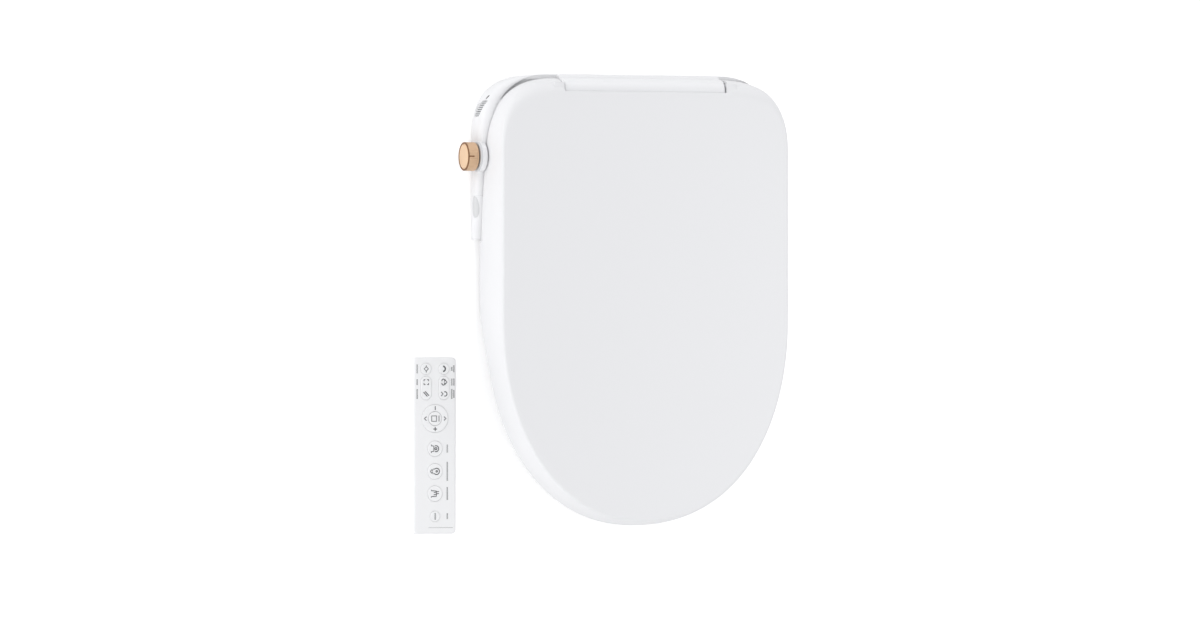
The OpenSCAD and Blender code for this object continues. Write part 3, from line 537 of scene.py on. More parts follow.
def crossings(line, point, direction, slack):
    """Distances at which a ray from a point crosses a closed line; slack widens each segment."""
    px, py = point
    dx, dy = direction
    found = []
    for (x0, y0), (x1, y1) in zip(line, line[1:] + line[:1]):
        ex, ey = x1 - x0, y1 - y0
        cross = dx * ey - dy * ex
        if abs(cross) < 1e-9:
            continue
        t = ((x0 - px) * ey - (y0 - py) * ex) / cross
        u = ((x0 - px) * dy - (y0 - py) * dx) / cross
        if t > 0 and -slack <= u <= 1 + slack:
            found.append(t)
    return found


def lid_outline(count=360):
    """Outline of the lid's top face, anticlockwise from the middle of the right side."""
    dense = squircle(CORNER_X, CORNER_Y, HALF_W - CORNER_X, CORNER_DEPTH, CORNER_N, 0, 90, 200)
    dense += squircle(-CORNER_X, CORNER_Y, HALF_W - CORNER_X, CORNER_DEPTH, CORNER_N, 90, 180,
                      200)
    dense += squircle(0, FRONT_Y, HALF_W, FRONT_Y - LID_TIP - FLARE, FRONT_N, 180, 360, 600)
    return resample(dense, count)


def shoulder_at(y):
    """Height of the housing's shoulder under the skirt."""
    if y <= SHOULDER[0][0]:
        return SHOULDER[0][1]
    for (y0, z0), (y1, z1) in zip(SHOULDER, SHOULDER[1:]):
        if y <= y1:
            return z0 + (z1 - z0) * (y - y0) / (y1 - y0)
    return SHOULDER[-1][1]


# ---------------------------------------------------------------- lid

# ROOF is where the crowned top face ends. Its soft edge reaches EDGE_IN in at the sides and
# REAR_IN at the rear. SIDE holds (height, how far the side stands out) knots. The rear is
# trimmed by REAR_TRIM and lifted by REAR_LIFT; the skirt rises by SKIRT_RISE toward the front.
ROOF = LID_TOP - 0.35
EDGE_IN = 4.0
REAR_IN = 18.0
REAR_BLEND = 1.6
EDGE_SLOPE = 0.8
SIDE = ((SKIRT_Z, 4.0), (SKIRT_Z + 22.0, 4.4), (LID_TOP - 28.0, 3.8), (LID_TOP - 20.0, 3.2),
        (LID_TOP - 12.0, 2.0), (LID_TOP - 4.8, 0.4), (LID_TOP, -1.0))
SIDE_ROWS = 8
REAR_LIFT = 6.0
REAR_TRIM = 5.5
REAR_TRIM_FROM = REAR_Y - 34.0
SKIRT_RISE = 20.0
RISE = (FRONT_Y + 25.0, FRONT_Y - 65.0)
SKIRT_STEPS = ((ARM_FRONT - 2.0, -1), (CASE_FRONT - 2.0, 1))
SPINE = (FRONT_Y - 60.0, REAR_Y - 70.0)
FACE_ROWS = (0.012, 0.03, 0.06, 0.12, 0.22, 0.36, 0.54, 0.76, 1.0)


def within(value, low=0.0, high=1.0):
    """Value held between two ends."""
    return min(max(value, low), high)


def along_knots(knots, at):
    """Straight interpolation through (position, value) knots."""
    for (a, u), (b, v) in zip(knots, knots[1:]):
        if at <= b:
            return u + (v - u) * max(at - a, 0.0) / (b - a)
    return knots[-1][1]


def lid_column(bottom, inset, thin):
    """Rows (grow, z) from the lower edge to the rim of the top face."""
    roof = ROOF - (PANEL if thin else 0.0)
    drop = EDGE_IN + (inset - EDGE_IN) * EDGE_SLOPE
    start = roof - drop
    low = min(bottom, start - 2.0)
    rows = []
    for i in range(SIDE_ROWS + 1):
        z = low + (start - low) * i / SIDE_ROWS
        rows.append((along_knots(SIDE, z) - thin, max(z, bottom)))
    grow = along_knots(SIDE, start) - thin
    for a in sweep(9, 90, 9):
        rows.append((grow - (grow + inset + thin) * (1 - math.cos(a)),
                     max(start + drop * math.sin(a), bottom)))
    return rows


def skirt_bottom(x, y):
    """Height of the skirt's lower edge, which clears the housing."""
    start = SKIRT_STEPS[0][0] if x < 0 else SKIRT_STEPS[1][0]
    if y <= start:
        rise = within((RISE[0] - y) / (RISE[0] - RISE[1]))
        return SKIRT_Z + SKIRT_RISE * (1 - math.cos(math.pi * rise)) / 2
    ease = within((y + 4.0) / (HINGE_Y + 4.0))
    return shoulder_at(y) + SKIRT_GAP + (REAR_LIFT - SKIRT_GAP) * ease ** 1.5


def lid_plan():
    """Outline of the lid, trimmed at the rear, with two close points at each step of the skirt."""
    points = [(x, y - REAR_TRIM * within((y - REAR_TRIM_FROM) / (REAR_Y - REAR_TRIM_FROM)) ** 2)
              for x, y in lid_outline()]
    for y, side in SKIRT_STEPS:
        for i, p in enumerate(points):
            q = points[(i + 1) % len(points)]
            if p[0] * side > 0 and (p[1] - y) * (q[1] - y) < 0:
                pair = [(p[0], y - 0.25), (p[0], y + 0.25)]
                points[i + 1:i + 1] = pair if p[1] < q[1] else pair[::-1]
                break
    return points


def lid_face(rim, roof, crown):
    """Rings of a crowned face, from the lid's spine out to its rim."""
    made = []
    for s in FACE_ROWS:
        row = []
        for x, y, _ in rim:
            row.append((x * (1 - s), y + (within(y, *SPINE) - y) * s, roof - crown * (1 - s) ** 2))
        made.append(row)
    return made


def lid_mesh():
    """Closed shell of the lid, crowned on top and hollow below."""
    points = lid_plan()
    out = normals(points)
    columns = []
    for (x, y), (_, ny) in zip(points, out):
        inset = EDGE_IN + (REAR_IN - EDGE_IN) * max(ny, 0.0) ** REAR_BLEND
        bottom = skirt_bottom(x, y)
        columns.append((lid_column(bottom, inset, 0.0), lid_column(bottom, inset, WALL)))

    def ring(row, side):
        return [(x + nx * c[side][row][0], y + ny * c[side][row][0], c[side][row][1])
                for (x, y), (nx, ny), c in zip(points, out, columns)]

    count = len(columns[0][0])
    outer = [ring(i, 0) for i in range(count)]
    inner = [ring(i, 1) for i in range(count)]
    crown = LID_TOP - ROOF
    rings = lid_face(inner[-1], LID_TOP - PANEL, crown)[::-1] + inner[::-1] + outer
    rings += lid_face(outer[-1], LID_TOP, crown)
    return skin_rings(rings, caps=False)


def teardrop(radius, top):
    """Knuckle profile: round below the pin, straight sides up to a height."""
    return arc_points(HINGE_Y, HINGE_Z, radius, 180, 360, 24) + [(HINGE_Y + radius, top),
                                                                (HINGE_Y - radius, top)]


def span_x(side, near, far):
    """Lowest and highest X of a stretch on one side of the middle."""
    return sorted((side * near, side * far))


def bore(x0, x1, radius):
    """Cutter about the hinge line."""
    return loose("bore", lathe([(x0, radius), (x1, radius)], about_hinge, 40))


def pin_bore(x0, x1):
    """Cutter for a pin's hole through a knuckle, a little longer than the knuckle."""
    return bore(x0 - 1, x1 + 1, PIN_R + PIN_CLEAR)


# The rear notch widens by NOTCH_SPREAD up to the rear; ROOM is the space left round knuckles.
NOTCH_SPREAD = 6.0
NOTCH_REAR = REAR_Y + 40
ROOM = 0.6


def barrel_notch():
    """Cutter for the rear notch where the lid clears the barrel; its sides lean outward."""
    spread = NOTCH_SPREAD * (NOTCH_REAR - NOTCH_Y) / (REAR_Y - NOTCH_Y)
    plan = [(-NOTCH_X, NOTCH_Y), (NOTCH_X, NOTCH_Y), (NOTCH_X + spread, NOTCH_REAR),
            (-NOTCH_X - spread, NOTCH_REAR)]
    return loose("notch", skin_rings([[(x, y, z) for x, y in plan] for z in (0, 200)]))


def make_lid():
    """Lid shell, cut for the barrel, the ring's knuckles and the ends of the pins."""
    lid = new_piece("lid_shell_skin", lid_mesh(), "lid_white", "lid", ["lid_shell"])
    combine(lid, [barrel_notch()], "DIFFERENCE")
    bevel(lid, 1.3, 4, 55)
    room = []
    for side, _ in SIDES:
        for far, radius in ((RING_KNUCKLE[1], RING_KNUCKLE_R + 0.5), (PIN_HIGH[0], PIN_R + 0.4)):
            room.append(bore(*span_x(side, RING_KNUCKLE[0] - ROOM, far + ROOM), radius))
    combine(lid, room, "DIFFERENCE")
    shade(lid, 38)


def make_lid_knuckles():
    """Two knuckles that hang from the lid's roof round the hinge pins."""
    profile = teardrop(KNUCKLE_R, LID_TOP - PANEL + 0.6)
    for side, word in SIDES:
        x0, x1 = span_x(side, *LID_KNUCKLE)
        knuckle = new_piece("lid_knuckle_" + word, extrude_profile(profile, x0, x1),
                            "lid_white", "lid")
        combine(knuckle, [pin_bore(x0, x1)], "DIFFERENCE")
        bevel(knuckle, 0.5, 2)
        shade(knuckle)


# ---------------------------------------------------------------- seat ring

# The ring lies inside the lid's skirt; its opening is an oval, and an arch under its rear lets
# the wands out.
RING_IN = 7.0
RING_TOP = RING_HIGH[2]
RING_REAR = COVER_LOW[1] - 2.0
RING_BASE = PLATE_HIGH[2]
OPENING_W = 216.0
OPENING_LEN = 280.0
OPENING_Y = RING_REAR - 33.0 - OPENING_LEN / 2
OPENING_N = 2.3
ARCH_X = 96.0
ARCH_Y = RING_REAR - 34.0
ARCH_Z = PLATE_LOW[2] + 27.0
RING_DISH = 2.2
RING_SIDE = 11.0
RING_ROLL = 13.0
RING_STEPS = 288


def ray_hit(outline, centre, direction):
    """Where a ray from the centre leaves a closed outline."""
    reach = max(crossings(outline, centre, direction, 1e-6))
    return Vector([c + d * reach for c, d in zip(centre, direction)])


def grown(points, amount):
    """Closed outline moved outward."""
    return [(x + nx * amount, y + ny * amount)
            for (x, y), (nx, ny) in zip(points, normals(points))]


def rounded_rear(points, rear, radius):
    """Outline cut straight across at the rear, with rounded corners."""
    kept = [p for p in points if p[1] <= rear - radius]
    right = max(kept, key=lambda p: (p[0] > 0, p[1]))
    left = max(kept, key=lambda p: (p[0] < 0, p[1]))
    start = kept.index(left)
    ordered = kept[start:] + kept[:start]
    arc = [(right[0] - radius * (1 - math.cos(a)), rear - radius + radius * math.sin(a))
           for a in sweep(10, 90, 10)]
    back = [(left[0] + radius * (1 - math.cos(a)), rear - radius + radius * math.sin(a))
            for a in sweep(90, 10, -10)]
    return ordered + arc + back


def ring_mesh():
    """Comfortably dished ring, solid down to the plate below it."""
    outer_line = rounded_rear(grown(lid_outline(720), -RING_IN), RING_REAR, 9.0)
    inner_line = squircle(0, OPENING_Y, OPENING_W / 2, OPENING_LEN / 2, OPENING_N, 0, 360,
                          719)[:-1]
    centre = (0.0, OPENING_Y)
    columns = []
    for i in range(RING_STEPS):
        angle = 2 * math.pi * i / RING_STEPS
        direction = (math.cos(angle), math.sin(angle))
        inner = ray_hit(inner_line, centre, direction)
        outer = ray_hit(outer_line, centre, direction)
        span = (outer - inner).length
        rows = []
        for along, z in ring_section(span):
            p = inner + (outer - inner) * (along / span)
            rows.append((p.x, p.y, z))
        columns.append(rows)
    return skin_rings(columns + columns[:1], caps=False)


def ring_section(span):
    """Closed section of the ring: distance from the opening and height."""
    wall_top = RING_TOP - RING_SIDE
    rows = [(0.0, RING_BASE + 0.6), (0.0, wall_top)]
    for a in sweep(15, 90, 15):
        rows.append((RING_ROLL * (1 - math.cos(a)),
                     wall_top - RING_DISH + RING_SIDE * math.sin(a)))
    start, stop = RING_ROLL, span - RING_ROLL
    for i in range(1, 9):
        f = i / 9
        ease = f * f * (3 - 2 * f)
        rows.append((start + (stop - start) * f, RING_TOP - RING_DISH * (1 - ease)))
    for a in sweep(90, 0, -15):
        rows.append((span - RING_ROLL * (1 - math.cos(a)), wall_top + RING_SIDE * math.sin(a)))
    rows += [(span, RING_BASE + 9.0), (span - 1.6, RING_BASE + 0.6), (span - 2.2, RING_BASE),
             (0.6, RING_BASE)]
    return rows


def ring_arm_outline():
    """Side profile of an arm from the ring to its hinge knuckle."""
    under = HINGE_Z - 2.2
    return ([(RING_REAR - 33.0, RING_TOP - 9.0), (RING_REAR - 8.0, HINGE_Z + 4.0)]
            + arc_points(HINGE_Y, HINGE_Z, RING_KNUCKLE_R, 90, -150, 16)
            + [(HINGE_Y - RING_KNUCKLE_R - 4.0, under), (RING_REAR, under),
               (RING_REAR - 20.0, RING_TOP - 16.0)])


def make_ring():
    """Dished ring with its two hinge arms, the arch under its rear and its pin holes."""
    ring = new_piece("seat_ring_skin", ring_mesh(), "seat_white", "ring", ["seat_top"])
    arms = []
    for side, _ in SIDES:
        arm = loose("arm", extrude_profile(ring_arm_outline(), *span_x(side, *RING_KNUCKLE)))
        bevel(arm, 1.6, 3, 30)
        arms.append(arm)
    arch = loose("arch", box_mesh((-ARCH_X, ARCH_Y, -5), (ARCH_X, RING_REAR + 20, ARCH_Z)))
    bevel(arch, 7.0, 5, 60)
    combine(ring, arms, "UNION")
    combine(ring, [arch], "DIFFERENCE")
    for side, _ in SIDES:
        combine(ring, [pin_bore(*span_x(side, *RING_KNUCKLE))], "DIFFERENCE")
    shade(ring, 40)


# ---------------------------------------------------------------- flat outlines and pads


def capsule_outline(length, width):
    """Anticlockwise capsule about the origin, long along X."""
    points = arc_points((length - width) / 2, 0, width / 2, -90, 90, 16)
    return points + [(-x, -y) for x, y in points]


def oval_outline(length, width):
    """Anticlockwise oval about the origin, long along X."""
    return squircle(0, 0, length / 2, width / 2, 2.3, 0, 360, 48)[:-1]


def round_outline(radius, steps=64):
    """Anticlockwise circle about the origin."""
    return [(radius * math.cos(2 * math.pi * i / steps),
             radius * math.sin(2 * math.pi * i / steps)) for i in range(steps)]


def box_outline(width, length, radius, steps=10):
    """Anticlockwise rounded rectangle about the origin."""
    points = []
    for sx, sy, start in ((1, 1, 0), (-1, 1, 90), (-1, -1, 180), (1, -1, 270)):
        points += arc_points(sx * (width / 2 - radius), sy * (length / 2 - radius), radius,
                             start, start + 90, steps)
    return points


def stack_mesh(outline, rows, centre, turn=0.0):
    """Closed form through outlines: each row is a height and how far the outline grows."""
    c, s = math.cos(math.radians(turn)), math.sin(math.radians(turn))
    out = normals(outline)
    rings = []
    for z, grow in rows:
        ring = []
        for (x, y), (nx, ny) in zip(outline, out):
            x, y = x + nx * grow, y + ny * grow
            ring.append((centre[0] + x * c - y * s, centre[1] + x * s + y * c, z))
        rings.append(ring)
    return skin_rings(rings)


# Length and width of the ring's buffers, radius of the lid's, and each one's place on one side,
# how far it is turned, and its name.
BUFFER = (34, 14)
STUD_R = 6.0
BUFFER_SPOTS = ((HALF_W - 40.0, FRONT_Y + 45.0, 90.0, "rear"),
                (HALF_W - 104.0, LID_TIP + 66.0, 28.0, "front"))


def hanging_rows(node, radius):
    """Rows of a pad between a frame node's heights, rounded below and slightly eased above."""
    low, high = node_box(node)[0][2], node_box(node)[1][2]
    rows = [(low + radius * (1 - math.sin(a)), -radius * (1 - math.cos(a)))
            for a in sweep(90, 18, -18)]
    return rows + [(low + radius, 0.0), (high - 0.4, 0.0), (high, -0.4)]


def make_bumpers():
    """Rubber buffers under the ring and under the lid."""
    stands_for = (["seat_bumpers"], ["lid_bumpers"])
    for side, word in SIDES:
        for x, y, turn, end in BUFFER_SPOTS:
            pad = stack_mesh(capsule_outline(*BUFFER), hanging_rows("seat_bumpers", 1.6),
                             (side * x, y), side * turn)
            plain_piece(f"ring_buffer_{word}_{end}", pad, "rubber_grey", "ring", stands_for[0])
            stud = stack_mesh(round_outline(STUD_R, 40), hanging_rows("lid_bumpers", 1.4),
                              (side * x, y))
            plain_piece(f"lid_buffer_{word}_{end}", stud, "rubber_grey", "lid", stands_for[1])
            stands_for = (None, None)


# ---------------------------------------------------------------- control arm

# The arm's outer edge runs straight back, then turns in through a soft corner of ARM_TURN's
# size. The arm is ARM_W wide ahead of the case and reaches the case's side further back.
# ARM_NOSE rounds its front end; ARM_ROUND and ARM_ROLL are the height and width of its top edge.
ARM_X = -ARM_LOW[0]
ARM_TURN = (96.0, 90.0)
ARM_CORNER = (-(ARM_X - ARM_TURN[0]), REAR_Y - ARM_TURN[1])
ARM_POWER = 3.2
ARM_W = 15.0
ARM_W_MOST = 60.0
ARM_W_LEAST = 0.4
ARM_NOSE = 1.6
ARM_FLOOR = ARM_LOW[2]
ARM_ROUND = 9.0
ARM_ROLL = 24.0


def arm_outer():
    """Outer edge of the arm from its front end to where it meets the rear."""
    rear = squircle(*ARM_CORNER, *ARM_TURN, ARM_POWER, 180, 93, 60)
    side = [(-ARM_X, ARM_FRONT + (ARM_CORNER[1] - ARM_FRONT) * i / 24) for i in range(24)]
    return side + rear


def arm_sections():
    """Stations along the arm: outer point, outward normal, width and shoulder height."""
    case_line = grown(lid_outline(720), FLARE + 0.05)
    outer = resample(arm_outer(), 150, closed=False)
    sections = []
    for i, (x, y) in enumerate(outer):
        a, b = outer[max(i - 1, 0)], outer[min(i + 1, len(outer) - 1)]
        dx, dy = b[0] - a[0], b[1] - a[1]
        length = math.hypot(dx, dy)
        nx, ny = -dy / length, dx / length
        if y <= CASE_FRONT:
            width = ARM_W
        else:
            width = min(crossings(case_line, (x, y), (-nx, -ny), 0.0) + [ARM_W_MOST])
        sections.append(((x, y), (nx, ny), max(width, ARM_W_LEAST), shoulder_at(y)))
    return sections


ARM = arm_sections()


def arm_roll(width, height):
    """Width and height of the soft curve from the arm's side to its top."""
    return min(width * 0.9, ARM_ROLL), min(ARM_ROUND, width * 0.85, height - ARM_FLOOR - 1.0)


def arm_mesh():
    """Crescent-shaped arm with its upper outer edge rounded."""
    rings = []
    for (x, y), (nx, ny), width, height in ARM:
        front = y - ARM_FRONT
        pull = 0
        if front < ARM_NOSE:
            pull = ARM_NOSE - math.sqrt(max(ARM_NOSE ** 2 - (ARM_NOSE - front) ** 2, 0))
        over, radius = arm_roll(width, height)
        top = height - pull * 0.6
        ring = [(x - nx * pull, y - ny * pull, ARM_FLOOR)]
        for a in sweep(0, 90, 10):
            inward = max(over * (1 - math.cos(a)), pull)
            ring.append((x - nx * inward, y - ny * inward, top - radius * (1 - math.sin(a))))
        inner = width - (pull if width == ARM_W else 0)
        ring.append((x - nx * (over + inner) / 2, y - ny * (over + inner) / 2, top))
        ring.append((x - nx * inner, y - ny * inner, top))
        ring.append((x - nx * inner, y - ny * inner, ARM_FLOOR))
        rings.append(ring)
    return skin_rings(rings)


def arm_surface(y, s, lift):
    """Point on the arm's outside at a distance from the bolts; s runs up the side, then over."""
    for (a, b) in zip(ARM, ARM[1:]):
        if b[0][1] >= y:
            f = (y - a[0][1]) / (b[0][1] - a[0][1])
            break
    x = a[0][0] + (b[0][0] - a[0][0]) * f
    nx, ny = a[1]
    height = shoulder_at(y)
    over, radius = arm_roll(a[2], height)
    wall_top = height - radius
    if s <= wall_top:
        return (x + nx * lift, y + ny * lift, s)
    t = min((s - wall_top) / radius, math.pi / 2)
    inward = over * (1 - math.cos(t)) - lift * math.cos(t)
    return (x - nx * inward, y - ny * inward, wall_top + radius * math.sin(t)
            + lift * math.sin(t))


def arm_patch(outline, centre, low, high, slant=0.0):
    """Closed plate that follows the arm's outside, between two lifts."""

    def place(grow, lift):
        return [arm_surface(centre[0] + x * grow, centre[1] + (y + slant * x) * grow, lift)
                for x, y in outline]

    rings = [place(k, low) for k in (0.02, 0.5, 1.0)]
    rings.append(place(1.0, high - 0.12))
    rings += [place(k, high) for k in (0.96, 0.77, 0.58, 0.38, 0.2, 0.02)]
    return skin_rings(rings)


KNOB_Y = (KNOB_LOW[1] + KNOB_HIGH[1]) / 2
KNOB_Z = (KNOB_LOW[2] + KNOB_HIGH[2]) / 2
KNOB_R = (KNOB_HIGH[1] - KNOB_LOW[1]) / 2
SHAFT_R = 3.6


def about_knob(along, u, v):
    """Place for turned shapes on the knob's axis; along runs outward from the arm."""
    return (-along, KNOB_Y + u, KNOB_Z + v)


# Where each inlay of the arm lies, as a distance from the bolts and a height up the side.
WINDOW_AT = (-102.5, 11.6)
WINDOW_SIZE = (25.0, 9.0)
GRILLE_AT = (10.5, 17.8)
GRILLE_SLANT = 0.6
GRILLE_SIZE = (18.0, 15.6)
SLATS = 7
SLAT_STEP = 2.45
SLAT_W = 1.45
MARK_AT = (23.2, 25.6)
MARK_SIZE = (5.2, 4.4)
STRIP_AT = (12.0, 8.4)
STRIP_SIZE = (10.0, 4.2)
STRIP_SLANT = 0.35
INLAY_GAP = 0.3
CUT_REACH = 1.5


def arm_cut(outline, centre, depth, slant=0.0):
    """Cutter that sinks a pocket into the arm's outside."""
    return loose("pocket", arm_patch(outline, centre, -depth, CUT_REACH, slant))


def fitted(size):
    """Size of an inlay that drops into a pocket."""
    return size[0] - INLAY_GAP, size[1] - INLAY_GAP


def make_arm():
    """Arm cover with the knob's pod, its shaft hole and the pockets of the inlays."""
    arm = new_piece("arm_cover_skin", arm_mesh(), "housing_white", "base", ["arm_cover"])
    radius = KNOB_R + 1.0
    pod = loose("pod", lathe([(ARM_X - 6.0, radius), (ARM_X - 1.4, radius),
                              (ARM_X - 0.6, radius - 0.3), (ARM_X - 0.1, radius - 1.1)],
                             about_knob))
    floor_cut = loose("floor_cut", box_mesh((-300, -100, -60), (-100, 20, ARM_FLOOR)))
    combine(pod, [floor_cut], "DIFFERENCE")
    combine(arm, [pod], "UNION")
    shaft = loose("shaft", lathe([(ARM_X - 20, SHAFT_R), (ARM_X + 4, SHAFT_R)], about_knob, 40))
    cuts = [shaft,
            arm_cut(oval_outline(*WINDOW_SIZE), WINDOW_AT, 1.2),
            arm_cut(box_outline(*GRILLE_SIZE, 1.6), GRILLE_AT, 2.4, GRILLE_SLANT),
            arm_cut(capsule_outline(*MARK_SIZE), MARK_AT, 0.8, GRILLE_SLANT),
            arm_cut(capsule_outline(*STRIP_SIZE), STRIP_AT, 0.8, STRIP_SLANT)]
    combine(arm, cuts, "DIFFERENCE")
    shade(arm, 30)


def make_window():
    """Smoked oval window of the remote's receiver."""
    pane = arm_patch(oval_outline(*fitted(WINDOW_SIZE)), WINDOW_AT, -1.15, -0.2)
    plain_piece("receiver_window_skin", pane, "light_grey_plastic", "base", ["receiver_window"],
                SMOKED, 50)


def make_grille():
    """Slatted air grille set into the arm's outer side."""
    back = arm_patch(box_outline(*fitted(GRILLE_SIZE), 1.5), GRILLE_AT, -2.35, -1.6, GRILLE_SLANT)
    plain_piece("grille_back", back, "dark_plastic", "base", ["arm_grille"])
    for i in range(SLATS):
        step = (i - SLATS // 2) * SLAT_STEP
        slat = arm_patch(box_outline(SLAT_W, GRILLE_SIZE[1] - 2 * INLAY_GAP, 0.3),
                         (GRILLE_AT[0] + step, GRILLE_AT[1] + step * GRILLE_SLANT), -1.7, -0.3)
        plain_piece(f"grille_slat_{i + 1}", slat, "light_grey_plastic", "base")
    dot = arm_patch(capsule_outline(*fitted(MARK_SIZE)), MARK_AT, -0.78, -0.3, GRILLE_SLANT)
    plain_piece("grille_mark", dot, "dark_plastic", "base")
    strip = arm_patch(capsule_outline(*fitted(STRIP_SIZE)), STRIP_AT, -0.78, -0.25, STRIP_SLANT)
    plain_piece("grille_strip", strip, "light_grey_plastic", "base", material=SMOKED)


# ---------------------------------------------------------------- knob and its collar


def make_collar():
    """Grey collar between the arm and the knob."""
    start, face, radius = ARM_X - 0.5, ARM_X + 1.9, KNOB_R + 0.6
    rows = [(start, SHAFT_R), (start, radius), (face - 0.7, radius), (face - 0.2, radius - 0.25),
            (face, radius - 0.8), (face, radius - 3.0), (face - 0.5, radius - 3.4),
            (face - 0.5, SHAFT_R)]
    plain_piece("knob_collar_skin", lathe(rows, about_knob, 128, hollow=True),
                "light_grey_plastic", "base", ["knob_collar"])


# The knob from its back to the face; the rim stands round the face, beyond the grip's end.
KNOB_BACK, KNOB_FACE = -KNOB_HIGH[0], -KNOB_LOW[0]
KNOB_BORE = 3.05
RIM_W = 1.5
RIM_DEPTH = 1.3
KNOB_CAP = KNOB_FACE - RIM_DEPTH
FLUTES = 48
FLUTE_STEPS = 8
FLUTE_DEPTH = 0.28
FLUTE_EASE = 0.5
POINTER_LENGTH = 7.5


def knob_rows():
    """Rows of the knob's body: along the axis, radius, and whether the row is fluted."""
    first, last = KNOB_BACK + 1.8, KNOB_CAP - 1.0
    rows = [(KNOB_BACK, KNOB_BORE, 0), (KNOB_BACK, KNOB_R - 1.0, 0),
            (KNOB_BACK + 0.3, KNOB_R - 0.4, 0), (KNOB_BACK + 1.0, KNOB_R, 0),
            (first, KNOB_R, 0), (first + FLUTE_EASE, KNOB_R, 1)]
    for i in range(1, 6):
        rows.append((first + FLUTE_EASE + (last - first - 2 * FLUTE_EASE) * i / 6, KNOB_R, 1))
    rows += [(last - FLUTE_EASE, KNOB_R, 1), (last, KNOB_R, 0), (KNOB_CAP - 0.02, KNOB_R, 0),
             (KNOB_CAP - 0.02, KNOB_R - 2.4, 0), (KNOB_FACE - 1.6, KNOB_R - 2.5, 0),
             (KNOB_FACE - 1.6, KNOB_BORE, 0)]
    return rows


def fluted_mesh():
    """Knob's body, with shallow flutes round its grip."""
    rows = knob_rows()
    steps = FLUTES * FLUTE_STEPS
    rings = []
    for along, radius, fluted in rows + rows[:1]:
        ring = []
        for i in range(steps):
            a = 2 * math.pi * i / steps
            dip = FLUTE_DEPTH * (0.5 + 0.5 * math.cos(FLUTES * a)) ** 2 if fluted else 0.0
            ring.append(about_knob(along, (radius - dip) * math.cos(a),
                                   (radius - dip) * math.sin(a)))
        rings.append(ring)
    return skin_rings(rings, caps=False)


def pointer_section(top_half, top, foot_half, foot):
    """Outline of the pointer's groove or inlay; heights are from the knob's top."""
    level = KNOB_Z + KNOB_R
    return [(KNOB_Y - top_half, level + top), (KNOB_Y - foot_half, level + foot),
            (KNOB_Y + foot_half, level + foot), (KNOB_Y + top_half, level + top)]


def make_knob():
    """Fluted champagne body of the knob, a darker gold as painted shade on its side, with its
    pointer painted dark as the shade in its notch.
    """
    knob = new_piece("knob_body_skin", fluted_mesh(), "gold_knob", "knob", ["knob_body"],
                     KNOB_SIDE_SHADE)
    groove = extrude_profile(pointer_section(1.0, 1.0, 0.5, -1.4),
                             -KNOB_FACE - 1, -KNOB_FACE + POINTER_LENGTH)
    combine(knob, [loose("groove", groove)], "DIFFERENCE")
    shade(knob, 35)
    # The pointer's inlay is painted dark as the shade in its notch.
    inlay = extrude_profile(pointer_section(0.68, -0.75, 0.52, -1.38),
                            -KNOB_CAP + 0.1, -KNOB_FACE + POINTER_LENGTH - 0.05)
    plain_piece("knob_pointer", inlay, "gold_knob", "knob", material=KNOB_GROOVE_SHADE)


def make_knob_face():
    """Rim painted dark as the shade of the groove round the face, and the softly domed disc inside
    it.
    """
    inside = KNOB_R - RIM_W
    edge = [(KNOB_CAP, inside - 0.6), (KNOB_CAP, KNOB_R - 0.3), (KNOB_CAP + 0.25, KNOB_R - 0.02),
            (KNOB_CAP + 0.55, KNOB_R - 0.05), (KNOB_CAP + 0.9, KNOB_R - 0.3),
            (KNOB_FACE - 0.12, KNOB_R - 0.9), (KNOB_FACE, inside),
            (KNOB_FACE - 0.3, inside - 0.3)]
    plain_piece("knob_groove_shade", lathe(edge, about_knob, 160, hollow=True), "gold_knob", "knob",
                material=KNOB_GROOVE_SHADE, angle=50)
    radius = inside - 0.62
    back, front = -node_box("knob_face")[1][0] - 0.02, KNOB_FACE - 0.35
    rows = [(back, KNOB_BORE), (back, radius), (front - 0.5, radius),
            (front - 0.15, radius - 0.15), (front, radius - 0.5)]
    rows += [(front + 0.3 * (1 - (k / 6) ** 2), (radius - 0.5) * k / 6) for k in range(5, 0, -1)]
    plain_piece("knob_face_skin", lathe(rows, about_knob, 128), "gold_knob", "knob",
                ["knob_face"], angle=35)


# ---------------------------------------------------------------- hinge barrel

BARREL_HALF = -BARREL_LOW[0]
BARREL_R = BARREL_HIGH[2] - HINGE_Z
BARREL_ROUND = 2.2
BARREL_WALL = 3
HOLLOW_R = 10.6
# Name of each bush, its side, how far it stands out of the barrel, and how much smaller it is.
BUSHES = (("left", -1, 1.8, 1.6), ("right", 1, 0.8, 3.6))


def barrel_outline():
    """Outline in (y, z): round above, with a foot that runs down to the rear."""
    radius = BARREL_R - 0.02
    foot = [(HINGE_Y - 8.0, BARREL_LOW[2]), (REAR_Y - 1.5, BARREL_LOW[2]),
            (REAR_Y, BARREL_LOW[2] + 1.5), (REAR_Y, HINGE_Z - 8.5), (REAR_Y - 0.9, HINGE_Z - 6.6),
            (REAR_Y - 3.0, HINGE_Z - 5.4)]
    return foot + arc_points(HINGE_Y, HINGE_Z, radius, -20, 200, 44)


def barrel_mesh():
    """Barrel with eased ends."""
    middle = (HINGE_Y, HINGE_Z - 4.0)
    ends = [(BARREL_HALF - BARREL_ROUND * (1 - math.sin(a)), BARREL_ROUND * (1 - math.cos(a)))
            for a in sweep(0, 90, 15)]
    rings = []
    for x, inset in [(-x, inset) for x, inset in ends[::-1]] + ends:
        ring = []
        for y, z in barrel_outline():
            d = Vector((y - middle[0], z - middle[1]))
            d = d * (1 - inset / d.length)
            ring.append((x, middle[0] + d.x, middle[1] + d.y))
        rings.append(ring)
    return skin_rings(rings)


